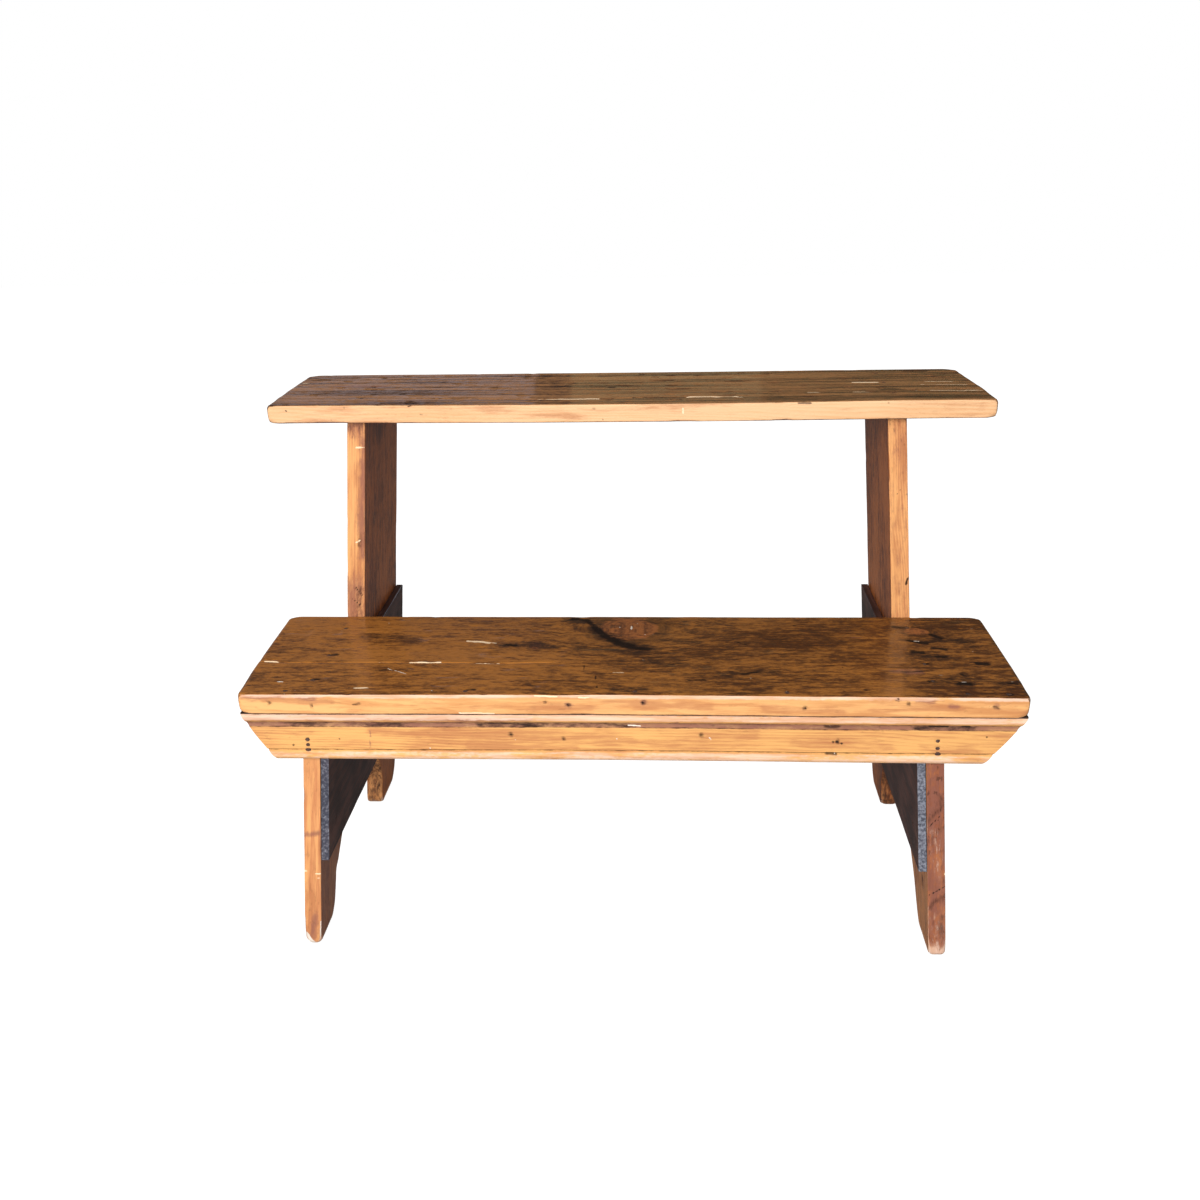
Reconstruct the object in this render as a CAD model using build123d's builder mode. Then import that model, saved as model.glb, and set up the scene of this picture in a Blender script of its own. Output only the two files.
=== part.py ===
"""A two-tier bucket bench of pine boards, nailed together.

Two long shelves, one behind and above the other, stand on a pair of board ends that spread a little
towards the floor. Each end is a short front leg butted against a tall rear upright, and an inner
cleat nailed across both holds them as one and carries the lower shelf. A moulded apron hangs under
the lower shelf's front edge.

Millimetres. X runs along the shelves, +Y to the back, +Z up. The origin is on the floor, under the
middle of the whole bench.
"""

import os
from math import atan, cos, sin

from build123d import *

# Driving dimensions.
OVERALL_DEPTH = 523.0  # lower shelf's front edge to the uprights' back edge
OVERALL_HEIGHT = 716.0  # floor to the top of the upper shelf
UPPER_LENGTH = 1050.0
UPPER_DEPTH = 260.0
UPPER_THICK = 28.0
LOWER_LENGTH = 1031.5
LOWER_DEPTH = 287.5
LOWER_THICK = 29.0
LOWER_TOP = 386.0  # floor to the top of the lower shelf
INSIDE_WIDTH = 795.0  # between the ends' inner faces, at SPREAD_HEIGHT
SPREAD_HEIGHT = 310.0
SPREAD = {"left": 0.060, "right": 0.045}  # how far an end leans out, for each unit down
LEG_THICK = 24.0
UPRIGHT_THICK = 27.5
CLEAT_THICK = 11.5
CLEAT_HEIGHT = {"left": 227.0, "right": 231.5}
APRON_HEIGHT = 66.5
APRON_THICK = 21.6
HOUSING = 6.0  # how far the ends' tops are let into the shelves

# Hand-made offsets: the ends stand a little left of the shelves' middles, and the shelves' ends
# are sawn out of square. The two numbers are how far a corner, at the front and at the back, falls
# short of the shelf's length.
ENDS_X = -6.9
LOWER_X = 1.3
UPPER_OUT_OF_SQUARE = {"left": (2.0, 0.0), "right": (0.0, 10.0)}
LOWER_OUT_OF_SQUARE = {"left": (7.5, 0.0), "right": (0.0, 2.0)}

# Places that follow from them.
FRONT_Y = -OVERALL_DEPTH / 2
BACK_Y = OVERALL_DEPTH / 2
SEAM_Y = FRONT_Y + LOWER_DEPTH  # where the front leg meets the upright
LOWER_UNDER = LOWER_TOP - LOWER_THICK
UPPER_UNDER = OVERALL_HEIGHT - UPPER_THICK
APRON_SETBACK = 3.3
APRON_FRONT = FRONT_Y + APRON_SETBACK
APRON_BOTTOM = LOWER_UNDER - APRON_HEIGHT
LEG_FRONT = APRON_FRONT + APRON_THICK
LOWER_LEFT = LOWER_X - LOWER_LENGTH / 2 + LOWER_OUT_OF_SQUARE["left"][0]  # its front corners
LOWER_RIGHT = LOWER_X + LOWER_LENGTH / 2 - LOWER_OUT_OF_SQUARE["right"][0]

# Rounding left by tools and wear.
UPPER_BACK_CORNER = 24.0
LOWER_BACK_CORNER = 17.0
SHELF_FRONT_CORNER = 8.0
SHELF_EDGE_ROUND = 3.0
TOE_ROUND = 5.0
LEG_HEEL_ROUND = {"left": 24.0, "right": 14.0}
REAR_HEEL_ROUND = {"left": 34.0, "right": 28.0}
REAR_TOE_ROUND = {"left": 12.0, "right": 26.0}

# The arch sawn through each end, seen from the side. It peaks at the seam.
ARCH_TOP = 158.0
REAR_FOOT_FRONT = BACK_Y - 102.0

# Cut nails: a wedge-shaped shank that is equally thick all along, under a small oblong head.
HEAD_LENGTH, HEAD_WIDTH, HEAD_THICK = 7.5, 5.0, 1.6
SHANK_WIDE, SHANK_TIP, SHANK_FLAT = 5.0, 2.2, 3.0
NAIL_SINK = 0.6  # the head's top lies this far under the wood
MOUTH = 3.0  # its hole is open this far above the head's top, past any bead in front
SHELF_NAIL, APRON_TOP_NAIL, APRON_FACE_NAIL, CLEAT_NAIL = 60.0, 50.0, 38.0, 32.0

SIDES = {"left": -1, "right": 1}


def inner_x(side_name, height):
    """X of an end's inner face at a height."""
    spread = SPREAD[side_name] * (SPREAD_HEIGHT - height)
    return ENDS_X + SIDES[side_name] * (INSIDE_WIDTH / 2 + spread)


def inner_face(side_name):
    """An end's inner face: across it is +Y, up it is up the boards, and its zero is on the floor."""
    lean = atan(SPREAD[side_name])
    return Plane(
        origin=(inner_x(side_name, 0), 0, 0),
        x_dir=(0, 1, 0),
        z_dir=(cos(lean), 0, SIDES[side_name] * sin(lean)),
    )


def sawn_level(low, high):
    """A slab over the whole bench, to saw leaning boards off level."""
    return Box(
        2 * UPPER_LENGTH,
        2 * OVERALL_DEPTH,
        high - low,
        align=(Align.CENTER, Align.CENTER, Align.MIN),
        mode=Mode.PRIVATE,
    ).moved(Location((0, 0, low)))


def cut_nail(length, pocket=False):
    """A nail that points down from the origin, or the hole that it makes, open above the head."""
    head_bottom = -NAIL_SINK - HEAD_THICK
    with BuildPart() as nail:
        with BuildSketch(Plane.XY.offset(head_bottom)):
            Rectangle(SHANK_WIDE, SHANK_FLAT)
        with BuildSketch(Plane.XY.offset(-length)):
            Rectangle(SHANK_TIP, SHANK_FLAT)
        loft()
        with BuildSketch(Plane.XY.offset(head_bottom)):
            Rectangle(HEAD_LENGTH, HEAD_WIDTH)
        extrude(amount=HEAD_THICK + (MOUTH if pocket else 0))
    return nail.part


def down(x, y, z, turn=90):
    """A nail driven straight down. Turned 90, its head lies across a long board's grain."""
    return Location((x, y, z), (0, 0, turn))


def back(x, y, z):
    """A nail driven towards the back."""
    return Location((x, y, z), (90, 0, 0))


def outward(side_name, y, height):
    """A nail driven square through a cleat, from its inner face towards the outside."""
    side = SIDES[side_name]
    board = inner_face(side_name)
    start = board.from_local_coords(Vector(y, height, -side * CLEAT_THICK))
    return Plane(origin=start, x_dir=board.y_dir, z_dir=-side * board.z_dir).location


nails = {}
holes = {}


def drive(name, length, places):
    """Adds a group of like nails, and the holes that bore the boards for them."""
    with BuildPart() as group:
        with Locations(*places):
            add(cut_nail(length))
    with BuildPart() as bores:
        with Locations(*places):
            add(cut_nail(length, pocket=True))
    nails[name] = group.part
    holes[name] = bores.part


# Where the nails stand: along each end's top for the shelves, up the apron, over each cleat.
UPPER_NAIL_Y = [SEAM_Y + 34.0, SEAM_Y + 122.0, BACK_Y - 34.0]
LOWER_NAIL_Y = {
    "left": [FRONT_Y + 50.0, FRONT_Y + 136.0, FRONT_Y + 238.0],
    "right": [FRONT_Y + 54.0, FRONT_Y + 111.0, FRONT_Y + 245.0],
}
APRON_FACE_NAIL_Z = {"left": [317.0, 309.5, 302.3], "right": [321.5, 311.5, 304.0]}
APRON_FACE_NAIL_INSET = 3.2  # behind the apron's front, as deep as its fascia is
APRON_TOP_NAIL_X = [-443.0, -205.0, 16.0, 211.0, 439.0, 490.0]
APRON_TOP_NAIL_Y = FRONT_Y + 14.0
CLEAT_NAIL_PLACES = [
    (FRONT_Y + 62.0, 176.0),
    (FRONT_Y + 66.0, 318.0),
    (SEAM_Y - 74.0, 312.0),
    (SEAM_Y - 62.0, 222.0),
    (SEAM_Y + 56.0, 218.0),
    (SEAM_Y + 62.0, 316.0),
    (BACK_Y - 46.0, 320.0),
    (BACK_Y - 52.0, 178.0),
]

for side_name, side in SIDES.items():
    upright_mid = inner_x(side_name, OVERALL_HEIGHT) + side * UPRIGHT_THICK / 2
    leg_mid = inner_x(side_name, SPREAD_HEIGHT) + side * LEG_THICK / 2
    shelf_places = [down(upright_mid, y, OVERALL_HEIGHT) for y in UPPER_NAIL_Y]
    drive(f"{side_name}_upper_shelf_nails", SHELF_NAIL, shelf_places)
    shelf_places = [down(leg_mid, y, LOWER_TOP) for y in LOWER_NAIL_Y[side_name]]
    drive(f"{side_name}_lower_shelf_nails", SHELF_NAIL, shelf_places)
    face_y = APRON_FRONT + APRON_FACE_NAIL_INSET
    apron_places = [back(leg_mid, face_y, z) for z in APRON_FACE_NAIL_Z[side_name]]
    drive(f"{side_name}_apron_nails", APRON_FACE_NAIL, apron_places)
    cleat_places = [outward(side_name, y, z) for y, z in CLEAT_NAIL_PLACES]
    drive(f"{side_name}_cleat_nails", CLEAT_NAIL, cleat_places)
top_places = [down(x, APRON_TOP_NAIL_Y, LOWER_TOP, turn=0) for x in APRON_TOP_NAIL_X]
drive("apron_top_nails", APRON_TOP_NAIL, top_places)


# The front leg's arched back edge, from the floor up to the seam. Hand sawn, so the two differ.
def left_leg_arch():
    with BuildLine() as arch:
        rise = Line((FRONT_Y + 99.0, -TOE_ROUND), (FRONT_Y + 109.5, 58.0))
        nib = ThreePointArc(rise @ 1, (FRONT_Y + 112.0, 68.5), (FRONT_Y + 121.0, 74.0))
        ThreePointArc(nib @ 1, (FRONT_Y + 158.0, 112.0), (SEAM_Y, ARCH_TOP))
    return arch.line


def right_leg_arch():
    with BuildLine() as arch:
        rise = Line((FRONT_Y + 96.0, -TOE_ROUND), (FRONT_Y + 125.0, 52.0))
        ThreePointArc(rise @ 1, (FRONT_Y + 166.0, 99.0), (SEAM_Y, ARCH_TOP))
    return arch.line


LEG_ARCH = {"left": left_leg_arch(), "right": right_leg_arch()}

legs = {}
for side_name, side in SIDES.items():
    arch = LEG_ARCH[side_name]
    top = LOWER_UNDER + HOUSING
    with BuildPart() as leg:
        with BuildSketch(inner_face(side_name)):
            with BuildLine():
                add(arch)
                Polyline(
                    arch @ 1,
                    (SEAM_Y, top + TOE_ROUND),
                    (LEG_FRONT, top + TOE_ROUND),
                    (LEG_FRONT, -TOE_ROUND),
                    arch @ 0,
                )
            make_face()
        extrude(amount=side * LEG_THICK)
        add(sawn_level(0, top), mode=Mode.INTERSECT)
        sole = leg.faces().sort_by(Axis.Z)[0]
        fillet(sole.edges().sort_by(Axis.Y)[0], TOE_ROUND)
        sole = leg.faces().sort_by(Axis.Z)[0]
        fillet(sole.edges().sort_by(Axis.Y)[-1], LEG_HEEL_ROUND[side_name])
        add(holes[f"{side_name}_lower_shelf_nails"], mode=Mode.SUBTRACT)
        add(holes[f"{side_name}_apron_nails"], mode=Mode.SUBTRACT)
        add(holes[f"{side_name}_cleat_nails"], mode=Mode.SUBTRACT)
    leg.part.label = f"{side_name}_front_leg"
    legs[side_name] = leg.part

uprights = {}
for side_name, side in SIDES.items():
    top = UPPER_UNDER + HOUSING
    with BuildPart() as upright:
        with BuildSketch(inner_face(side_name)):
            with BuildLine():
                arch = ThreePointArc(
                    (SEAM_Y, ARCH_TOP), (SEAM_Y + 85.5, 116.0), (REAR_FOOT_FRONT, 48.0)
                )
                Polyline(
                    arch @ 1,
                    (REAR_FOOT_FRONT, -TOE_ROUND),
                    (BACK_Y, -TOE_ROUND),
                    (BACK_Y, top + TOE_ROUND),
                    (SEAM_Y, top + TOE_ROUND),
                    arch @ 0,
                )
            make_face()
        extrude(amount=side * UPRIGHT_THICK)
        add(sawn_level(0, top), mode=Mode.INTERSECT)
        sole = upright.faces().sort_by(Axis.Z)[0]
        fillet(sole.edges().sort_by(Axis.Y)[0], REAR_TOE_ROUND[side_name])
        sole = upright.faces().sort_by(Axis.Z)[0]
        fillet(sole.edges().sort_by(Axis.Y)[-1], REAR_HEEL_ROUND[side_name])
        add(holes[f"{side_name}_upper_shelf_nails"], mode=Mode.SUBTRACT)
        add(holes[f"{side_name}_cleat_nails"], mode=Mode.SUBTRACT)
    upright.part.label = f"{side_name}_rear_upright"
    uprights[side_name] = upright.part

# Cleats: plain boards nailed across each leg and upright from the inside, up under the shelf.
cleats = {}
for side_name, side in SIDES.items():
    bottom = LOWER_UNDER - CLEAT_HEIGHT[side_name]
    with BuildPart() as cleat:
        with BuildSketch(inner_face(side_name)):
            with BuildLine():
                Polyline(
                    (LEG_FRONT, bottom),
                    (BACK_Y, bottom),
                    (BACK_Y, LOWER_UNDER + TOE_ROUND),
                    (LEG_FRONT, LOWER_UNDER + TOE_ROUND),
                    close=True,
                )
            make_face()
        extrude(amount=-side * CLEAT_THICK)
        add(sawn_level(0, LOWER_UNDER), mode=Mode.INTERSECT)
        add(holes[f"{side_name}_cleat_nails"], mode=Mode.SUBTRACT)
    cleat.part.label = f"{side_name}_inner_cleat"
    cleats[side_name] = cleat.part

# The apron: a beaded board whose ends are sawn back in a bow, further in towards the bottom.
TOP_BEAD = 13.0
TOP_BEAD_DEEP = 3.6  # how far it rounds back at its edges
LOW_BEAD = 14.0
COVE_DROP = 6.5
COVE_BULGE = 1.0  # the cove's deepest point lies this far behind the bead's edge
COVE_DEEPEST = 0.5  # and this share of the way down it
FASCIA_SETBACK = 3.2
QUIRK = 1.8
LOW_BEAD_PROUDEST = 0.45  # the share of the low bead's height, from its top, where it stands out
LOW_BEAD_RETURN = 3.0  # how far its bottom edge lies behind the fascia
END_INSET = 2.5  # the apron's top stops this far inside the shelf's ends
END_SLANT = {"left": 46.0, "right": 56.0}  # and its bottom this much further
END_BOW = 2.5

bead_y = APRON_FRONT + TOP_BEAD_DEEP
top_bead_z = LOWER_UNDER - TOP_BEAD
fascia_y = APRON_FRONT + FASCIA_SETBACK
low_bead_z = APRON_BOTTOM + LOW_BEAD
with BuildPart() as apron:
    with BuildSketch(Plane.YZ.offset(LOWER_LEFT)):
        with BuildLine():
            bead = ThreePointArc(
                (bead_y, LOWER_UNDER),
                (APRON_FRONT, LOWER_UNDER - TOP_BEAD / 2),
                (bead_y, top_bead_z),
            )
            cove = ThreePointArc(
                bead @ 1,
                (bead_y + COVE_BULGE, top_bead_z - COVE_DROP * COVE_DEEPEST),
                (fascia_y, top_bead_z - COVE_DROP),
            )
            fascia = Polyline(
                cove @ 1,
                (fascia_y, low_bead_z + QUIRK),
                (fascia_y + QUIRK, low_bead_z),
            )
            low_bead = ThreePointArc(
                fascia @ 1,
                (fascia_y - QUIRK, low_bead_z - LOW_BEAD * LOW_BEAD_PROUDEST),
                (fascia_y + LOW_BEAD_RETURN, APRON_BOTTOM),
            )
            Polyline(
                low_bead @ 1,
                (LEG_FRONT, APRON_BOTTOM),
                (LEG_FRONT, LOWER_UNDER),
                bead @ 0,
            )
        make_face()
    extrude(amount=LOWER_LENGTH)
    top_left = (LOWER_LEFT + END_INSET, LOWER_UNDER)
    top_right = (LOWER_RIGHT - END_INSET, LOWER_UNDER)
    bottom_left = (top_left[0] + END_SLANT["left"], APRON_BOTTOM)
    bottom_right = (top_right[0] - END_SLANT["right"], APRON_BOTTOM)
    with BuildSketch(Plane.XZ.offset(-BACK_Y)):
        with BuildLine():
            Line(top_left, top_right)
            SagittaArc(top_right, bottom_right, END_BOW)
            Line(bottom_right, bottom_left)
            SagittaArc(bottom_left, top_left, END_BOW)
        make_face()
    extrude(amount=OVERALL_DEPTH, mode=Mode.INTERSECT)
    for name in ("left_apron_nails", "right_apron_nails", "apron_top_nails"):
        add(holes[name], mode=Mode.SUBTRACT)
apron.part.label = "front_apron"


def shelf_board(centre_x, length, out_of_square, front, back, back_corner, thick, top):
    """A board with its corners rounded in plan, more at the back, and its edges eased."""
    left_front, left_back = (centre_x - length / 2 + short for short in out_of_square["left"])
    right_front, right_back = (centre_x + length / 2 - short for short in out_of_square["right"])
    with BuildPart() as board:
        with BuildSketch(Plane.XY.offset(top - thick)) as plan:
            with BuildLine():
                Polyline(
                    (left_front, front),
                    (right_front, front),
                    (right_back, back),
                    (left_back, back),
                    close=True,
                )
            make_face()
            front_corners, back_corners = plan.vertices().group_by(Axis.Y)
            fillet(back_corners, back_corner)
            fillet(front_corners, SHELF_FRONT_CORNER)
        extrude(amount=thick)
        faces = board.faces().sort_by(Axis.Z)
        fillet(faces[-1].edges() + faces[0].edges(), SHELF_EDGE_ROUND)
    return board.part


# Shelves: the ends' tops are let into housings in the undersides.
with BuildPart() as lower_shelf:
    add(
        shelf_board(
            LOWER_X,
            LOWER_LENGTH,
            LOWER_OUT_OF_SQUARE,
            FRONT_Y,
            SEAM_Y,
            LOWER_BACK_CORNER,
            LOWER_THICK,
            LOWER_TOP,
        )
    )
    for side_name in SIDES:
        add(legs[side_name], mode=Mode.SUBTRACT)
        add(holes[f"{side_name}_lower_shelf_nails"], mode=Mode.SUBTRACT)
    add(holes["apron_top_nails"], mode=Mode.SUBTRACT)
lower_shelf.part.label = "lower_shelf"

with BuildPart() as upper_shelf:
    add(
        shelf_board(
            0,
            UPPER_LENGTH,
            UPPER_OUT_OF_SQUARE,
            BACK_Y - UPPER_DEPTH,
            BACK_Y,
            UPPER_BACK_CORNER,
            UPPER_THICK,
            OVERALL_HEIGHT,
        )
    )
    for side_name in SIDES:
        add(uprights[side_name], mode=Mode.SUBTRACT)
        add(holes[f"{side_name}_upper_shelf_nails"], mode=Mode.SUBTRACT)
upper_shelf.part.label = "upper_shelf"

os.makedirs("parts", exist_ok=True)
boards = [upper_shelf.part, lower_shelf.part, apron.part]
boards += [*legs.values(), *uprights.values(), *cleats.values()]
for board in boards:
    export_step(board, f"parts/{board.label}.step")
for name, group in nails.items():
    group.label = name
    export_step(group, f"parts/{name}.step")
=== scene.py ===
import math
from collections import defaultdict

import bpy
import numpy as np
from mathutils import Matrix, Vector


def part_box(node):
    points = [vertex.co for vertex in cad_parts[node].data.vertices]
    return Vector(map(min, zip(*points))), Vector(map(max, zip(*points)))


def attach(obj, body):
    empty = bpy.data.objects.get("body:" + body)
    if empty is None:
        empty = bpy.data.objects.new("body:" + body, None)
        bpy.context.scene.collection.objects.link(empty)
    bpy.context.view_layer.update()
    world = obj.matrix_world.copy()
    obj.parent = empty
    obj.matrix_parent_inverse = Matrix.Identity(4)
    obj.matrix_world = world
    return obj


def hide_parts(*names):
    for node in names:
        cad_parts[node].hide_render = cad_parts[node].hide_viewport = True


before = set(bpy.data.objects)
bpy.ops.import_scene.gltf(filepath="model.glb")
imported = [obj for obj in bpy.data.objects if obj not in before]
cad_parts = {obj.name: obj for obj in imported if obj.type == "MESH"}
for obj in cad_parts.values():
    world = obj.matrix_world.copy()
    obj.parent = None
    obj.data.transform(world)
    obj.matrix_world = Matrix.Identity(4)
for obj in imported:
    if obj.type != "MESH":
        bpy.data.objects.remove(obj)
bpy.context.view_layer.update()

# Rear uprights. Two pine boards on end that carry the upper shelf. They lean out a little towards
# the floor, and each is sawn to half an arch in front of its foot. The front edges are bare and
# orange, the faces darker with old varnish, and the feet are scuffed pale.
ENDS_X = -0.0069  # the ends' middle
HALF_INSIDE = 0.3975  # from there to an inner face, at SPREAD_HEIGHT
SPREAD_HEIGHT = 0.310
SPREAD = {"left": 0.060, "right": 0.045}  # how far an end leans out, for each unit down
SIDES = {"left": -1, "right": 1}
FRONT_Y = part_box("lower_shelf")[0].y
SEAM_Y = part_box("lower_shelf")[1].y
BACK_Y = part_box("upper_shelf")[1].y
ARCH_TOP = 0.158
UPRIGHT_THICK = 0.0275
UPRIGHT_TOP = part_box("left_rear_upright")[1].z
REAR_FOOT_FRONT = BACK_Y - 0.102
REAR_ARCH_FOOT = 0.048  # where the arch's curve ends and the foot begins
REAR_ARCH_MIDDLE = (SEAM_Y + 0.0855, 0.116)
REAR_TOE_ROUND = {"left": 0.012, "right": 0.026}
REAR_HEEL_ROUND = {"left": 0.034, "right": 0.028}
EASING = np.array([0, 0.0004, 0.001, 0.0018, 0.0029, 0.0043, 0.006, 0.008])
ROUNDED_EASING = np.concatenate([EASING, [0.0105, 0.0135, 0.017, 0.021, 0.026]])
UNDER_STEP, RISE_STEP = 0.009, 0.004  # how far apart a board's lines are below and up its sides


def cloud(points, stretch, seed, octaves=1):
    """Smooth random values from about -1 to 1 at points, with `stretch` bumps to the metre."""
    total = np.zeros(len(points))
    size = 1.0
    for octave in range(octaves):
        q = points * np.asarray(stretch, float) * 2.0**octave + 17.3 * octave + 5.1
        cell = np.floor(q).astype(np.int64)
        t = q - cell
        t = t * t * (3 - 2 * t)
        value = np.zeros(len(points))
        for corner in np.ndindex(2, 2, 2):
            at = cell + corner
            key = at[:, 0] * 73856093 ^ at[:, 1] * 19349663 ^ at[:, 2] * 83492791
            key = (key + seed * 2654435761) & 0xFFFFFFFF
            key = ((key ^ (key >> 15)) * 2246822519) & 0xFFFFFFFF
            key = ((key ^ (key >> 13)) * 3266489917) & 0xFFFFFFFF
            weight = np.prod(np.where(corner, t, 1 - t), axis=1)
            value += weight * (((key ^ (key >> 16)) & 0xFFFF) / 32767.5 - 1)
        total += value * size
        size *= 0.5
    return total / (2 - 2.0 ** (1 - octaves))


def ramp(value, low, high):
    """0 up to low, 1 from high, and a smooth rise between. It falls if low is above high."""
    t = np.clip((value - low) / (high - low), 0, 1)
    return t * t * (3 - 2 * t)


def strokes(at, *lines):
    """How strongly ragged lines mark points of a face, from 0 to 1 at a line's middle.

    at is the points along and across the face, and a line is its half width, then its points.
    """
    ragged = 0.45  # how far a line wanders in its half widths, and how often in one of them
    total = np.zeros(len(at))
    flat = np.column_stack([at, np.zeros(len(at))])
    for width, *path in lines:
        path = np.array(path)
        low, high = path.min(axis=0) - 2 * width, path.max(axis=0) + 2 * width
        near = np.all((at > low) & (at < high), axis=1)
        bend = [cloud(flat[near], ragged / width, seed, 3) for seed in (1, 2)]
        spot = at[near] + ragged * width * np.stack(bend, axis=1)
        for start, end in zip(path, path[1:] if len(path) > 1 else path):
            run = end - start
            share = np.clip((spot - start) @ run / max(run @ run, 1e-12), 0, 1)
            far = np.linalg.norm(spot - start - share[:, None] * run, axis=1)
            total[near] = np.maximum(total[near], 1 - far / width)
    return total


def draw(points, *faces):
    """The marks drawn on a board. A face is how much each point is on it, the two directions that
    its strokes are in, and the strokes by mark. A mark that isn't drawn is 0."""
    drawn = defaultdict(lambda: np.zeros(len(points)))
    for face, directions, marks in faces:
        for key, lines in marks.items():
            drawn[key] = drawn[key] + face * strokes(points[:, directions], *lines)
    return drawn


def spaced(start, end, step, easing=EASING):
    """Places from start to end, close together at both ends where the arrises are rounded."""
    easing = easing * min(1.0, 0.45 * (end - start) / easing[-1])
    inner = np.linspace(start + easing[-1], end - easing[-1], max(2, round((end - start) / step)))
    return np.concatenate([start + easing, inner[1:-1], (end - easing)[::-1]])


def plank(along, low, high, thick, roundness, step, extra=()):
    """A board with rounded arrises, as points (along, across, through), faces and an edge mask.

    along holds the stations; low and high give the board's two edges at a station, and roundness
    an arris's radius at any point. step is how far apart the lines on its top face are, and
    extra are more of them.
    """
    low, high = low(along), high(along)
    widest = float(np.max(high - low))
    margin = EASING[-1]
    eased = np.ones(len(EASING))

    def lines(spacing, more=()):
        share = np.linspace(0, 1, max(3, round(widest / spacing)))
        if len(more):
            wanted = (np.asarray(more) - low.min() - margin) / (widest - 2 * margin)
            near = np.min(np.abs(share[:, None] - wanted), axis=1)
            share = np.sort(np.concatenate([share[near > 0.3 / len(share)], wanted]))
        inner = share[1:-1]
        keep_low = np.concatenate([eased, 1 - inner, 0 * eased])
        offset = np.concatenate([EASING, margin * (1 - 2 * inner), -EASING[::-1]])
        return low[:, None] * keep_low + high[:, None] * (1 - keep_low) + offset

    top = lines(step, extra)
    under = lines(UNDER_STEP)
    rise = spaced(0, thick, RISE_STEP)
    rows, n_under, n_rise, n_top = len(along), under.shape[1], len(rise), top.shape[1]
    ring_b = np.hstack([
        under[:, :-1],
        np.repeat(high[:, None], n_rise - 1, 1),
        top[:, :0:-1],
        np.repeat(low[:, None], n_rise - 1, 1),
    ])
    ring_c = np.concatenate([
        np.zeros(n_under - 1), rise[:-1], np.full(n_top - 1, thick), rise[:0:-1]
    ])
    ring = ring_b.shape[1]
    points = [np.stack([np.repeat(along, ring), ring_b.ravel(), np.tile(ring_c, rows)], 1)]
    row = np.arange(rows - 1)[:, None] * ring
    here, there = row + np.arange(ring), row + (np.arange(ring) + 1) % ring
    quads = [np.stack([here, there, ring + there, ring + here], -1).reshape(-1, 4)]
    triangles = []
    count = rows * ring
    for end, turned in ((0, -1), (rows - 1, 1)):
        base = end * ring
        inside = (n_rise - 2) * (n_top - 2)
        grid = np.zeros((n_rise, n_top), int)
        grid[1:-1, 1:-1] = count + np.arange(inside).reshape(n_rise - 2, n_top - 2)
        cap_b, cap_c = np.meshgrid(top[end, 1:-1], rise[1:-1])
        points.append(np.stack([np.full(inside, along[end]), cap_b.ravel(), cap_c.ravel()], 1))
        count += inside
        after = n_under + n_rise - 2
        grid[:, -1] = base + n_under - 1 + np.arange(n_rise)
        grid[-1, ::-1] = base + after + np.arange(n_top)
        grid[:-1, 0] = base + (after + n_top + n_rise - 2 - np.arange(n_rise - 1)) % ring
        corners = (grid[1:-1, :-1], grid[1:-1, 1:], grid[2:, 1:], grid[2:, :-1])
        quads.append(np.stack([corner.ravel() for corner in corners], 1)[:, ::turned])
        # The coarse underside is zipped to the first fine row above it.
        i = j = 0
        while i < n_under - 1 or j < n_top - 1:
            tip = [base + i]
            if j == n_top - 1 or (i < n_under - 1 and under[end, i + 1] <= top[end, j + 1]):
                i += 1
                tip += [base + i, grid[1, j]]
            else:
                j += 1
                tip += [grid[1, j], grid[1, j - 1]]
            triangles.append(tip[::turned])
    points = np.concatenate(points)

    radius = roundness(points)[:, None]
    edge_low = np.interp(points[:, 0], along, low)
    edge_high = np.interp(points[:, 0], along, high)
    floor = np.stack([np.full(len(points), along[0]), edge_low, np.zeros(len(points))], 1)
    roof = np.stack([np.full(len(points), along[-1]), edge_high, np.full(len(points), thick)], 1)
    core = np.clip(points, floor + radius, roof - radius)
    out = points - core
    far = np.maximum(np.linalg.norm(out, axis=1, keepdims=True), 1e-9)
    edge = 1 - np.abs(out).max(axis=1) / far[:, 0]
    return core + out * radius / far, np.concatenate(quads), np.array(triangles), edge


def level(place):
    """A board's straight edge, at one place across it."""
    return lambda along: np.full(len(along), place)


def facing(points, quads, triangles):
    """Unit normals at the points."""
    normal = np.zeros_like(points)
    for faces in (quads, triangles):
        p = points[faces]
        n = np.cross(p[:, 2] - p[:, 0], p[:, -1] - p[:, 1])
        for corner in range(faces.shape[1]):
            np.add.at(normal, faces[:, corner], n)
    return normal / np.maximum(np.linalg.norm(normal, axis=1, keepdims=True), 1e-12)


def squarely(part):
    """How squarely points face a way, from their normals' part in that direction."""
    return ramp(part, 0.3, 0.9)


def put_in_scene(name, data):
    thing = bpy.data.objects.new(name, data)
    bpy.context.scene.collection.objects.link(thing)
    return thing


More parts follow.
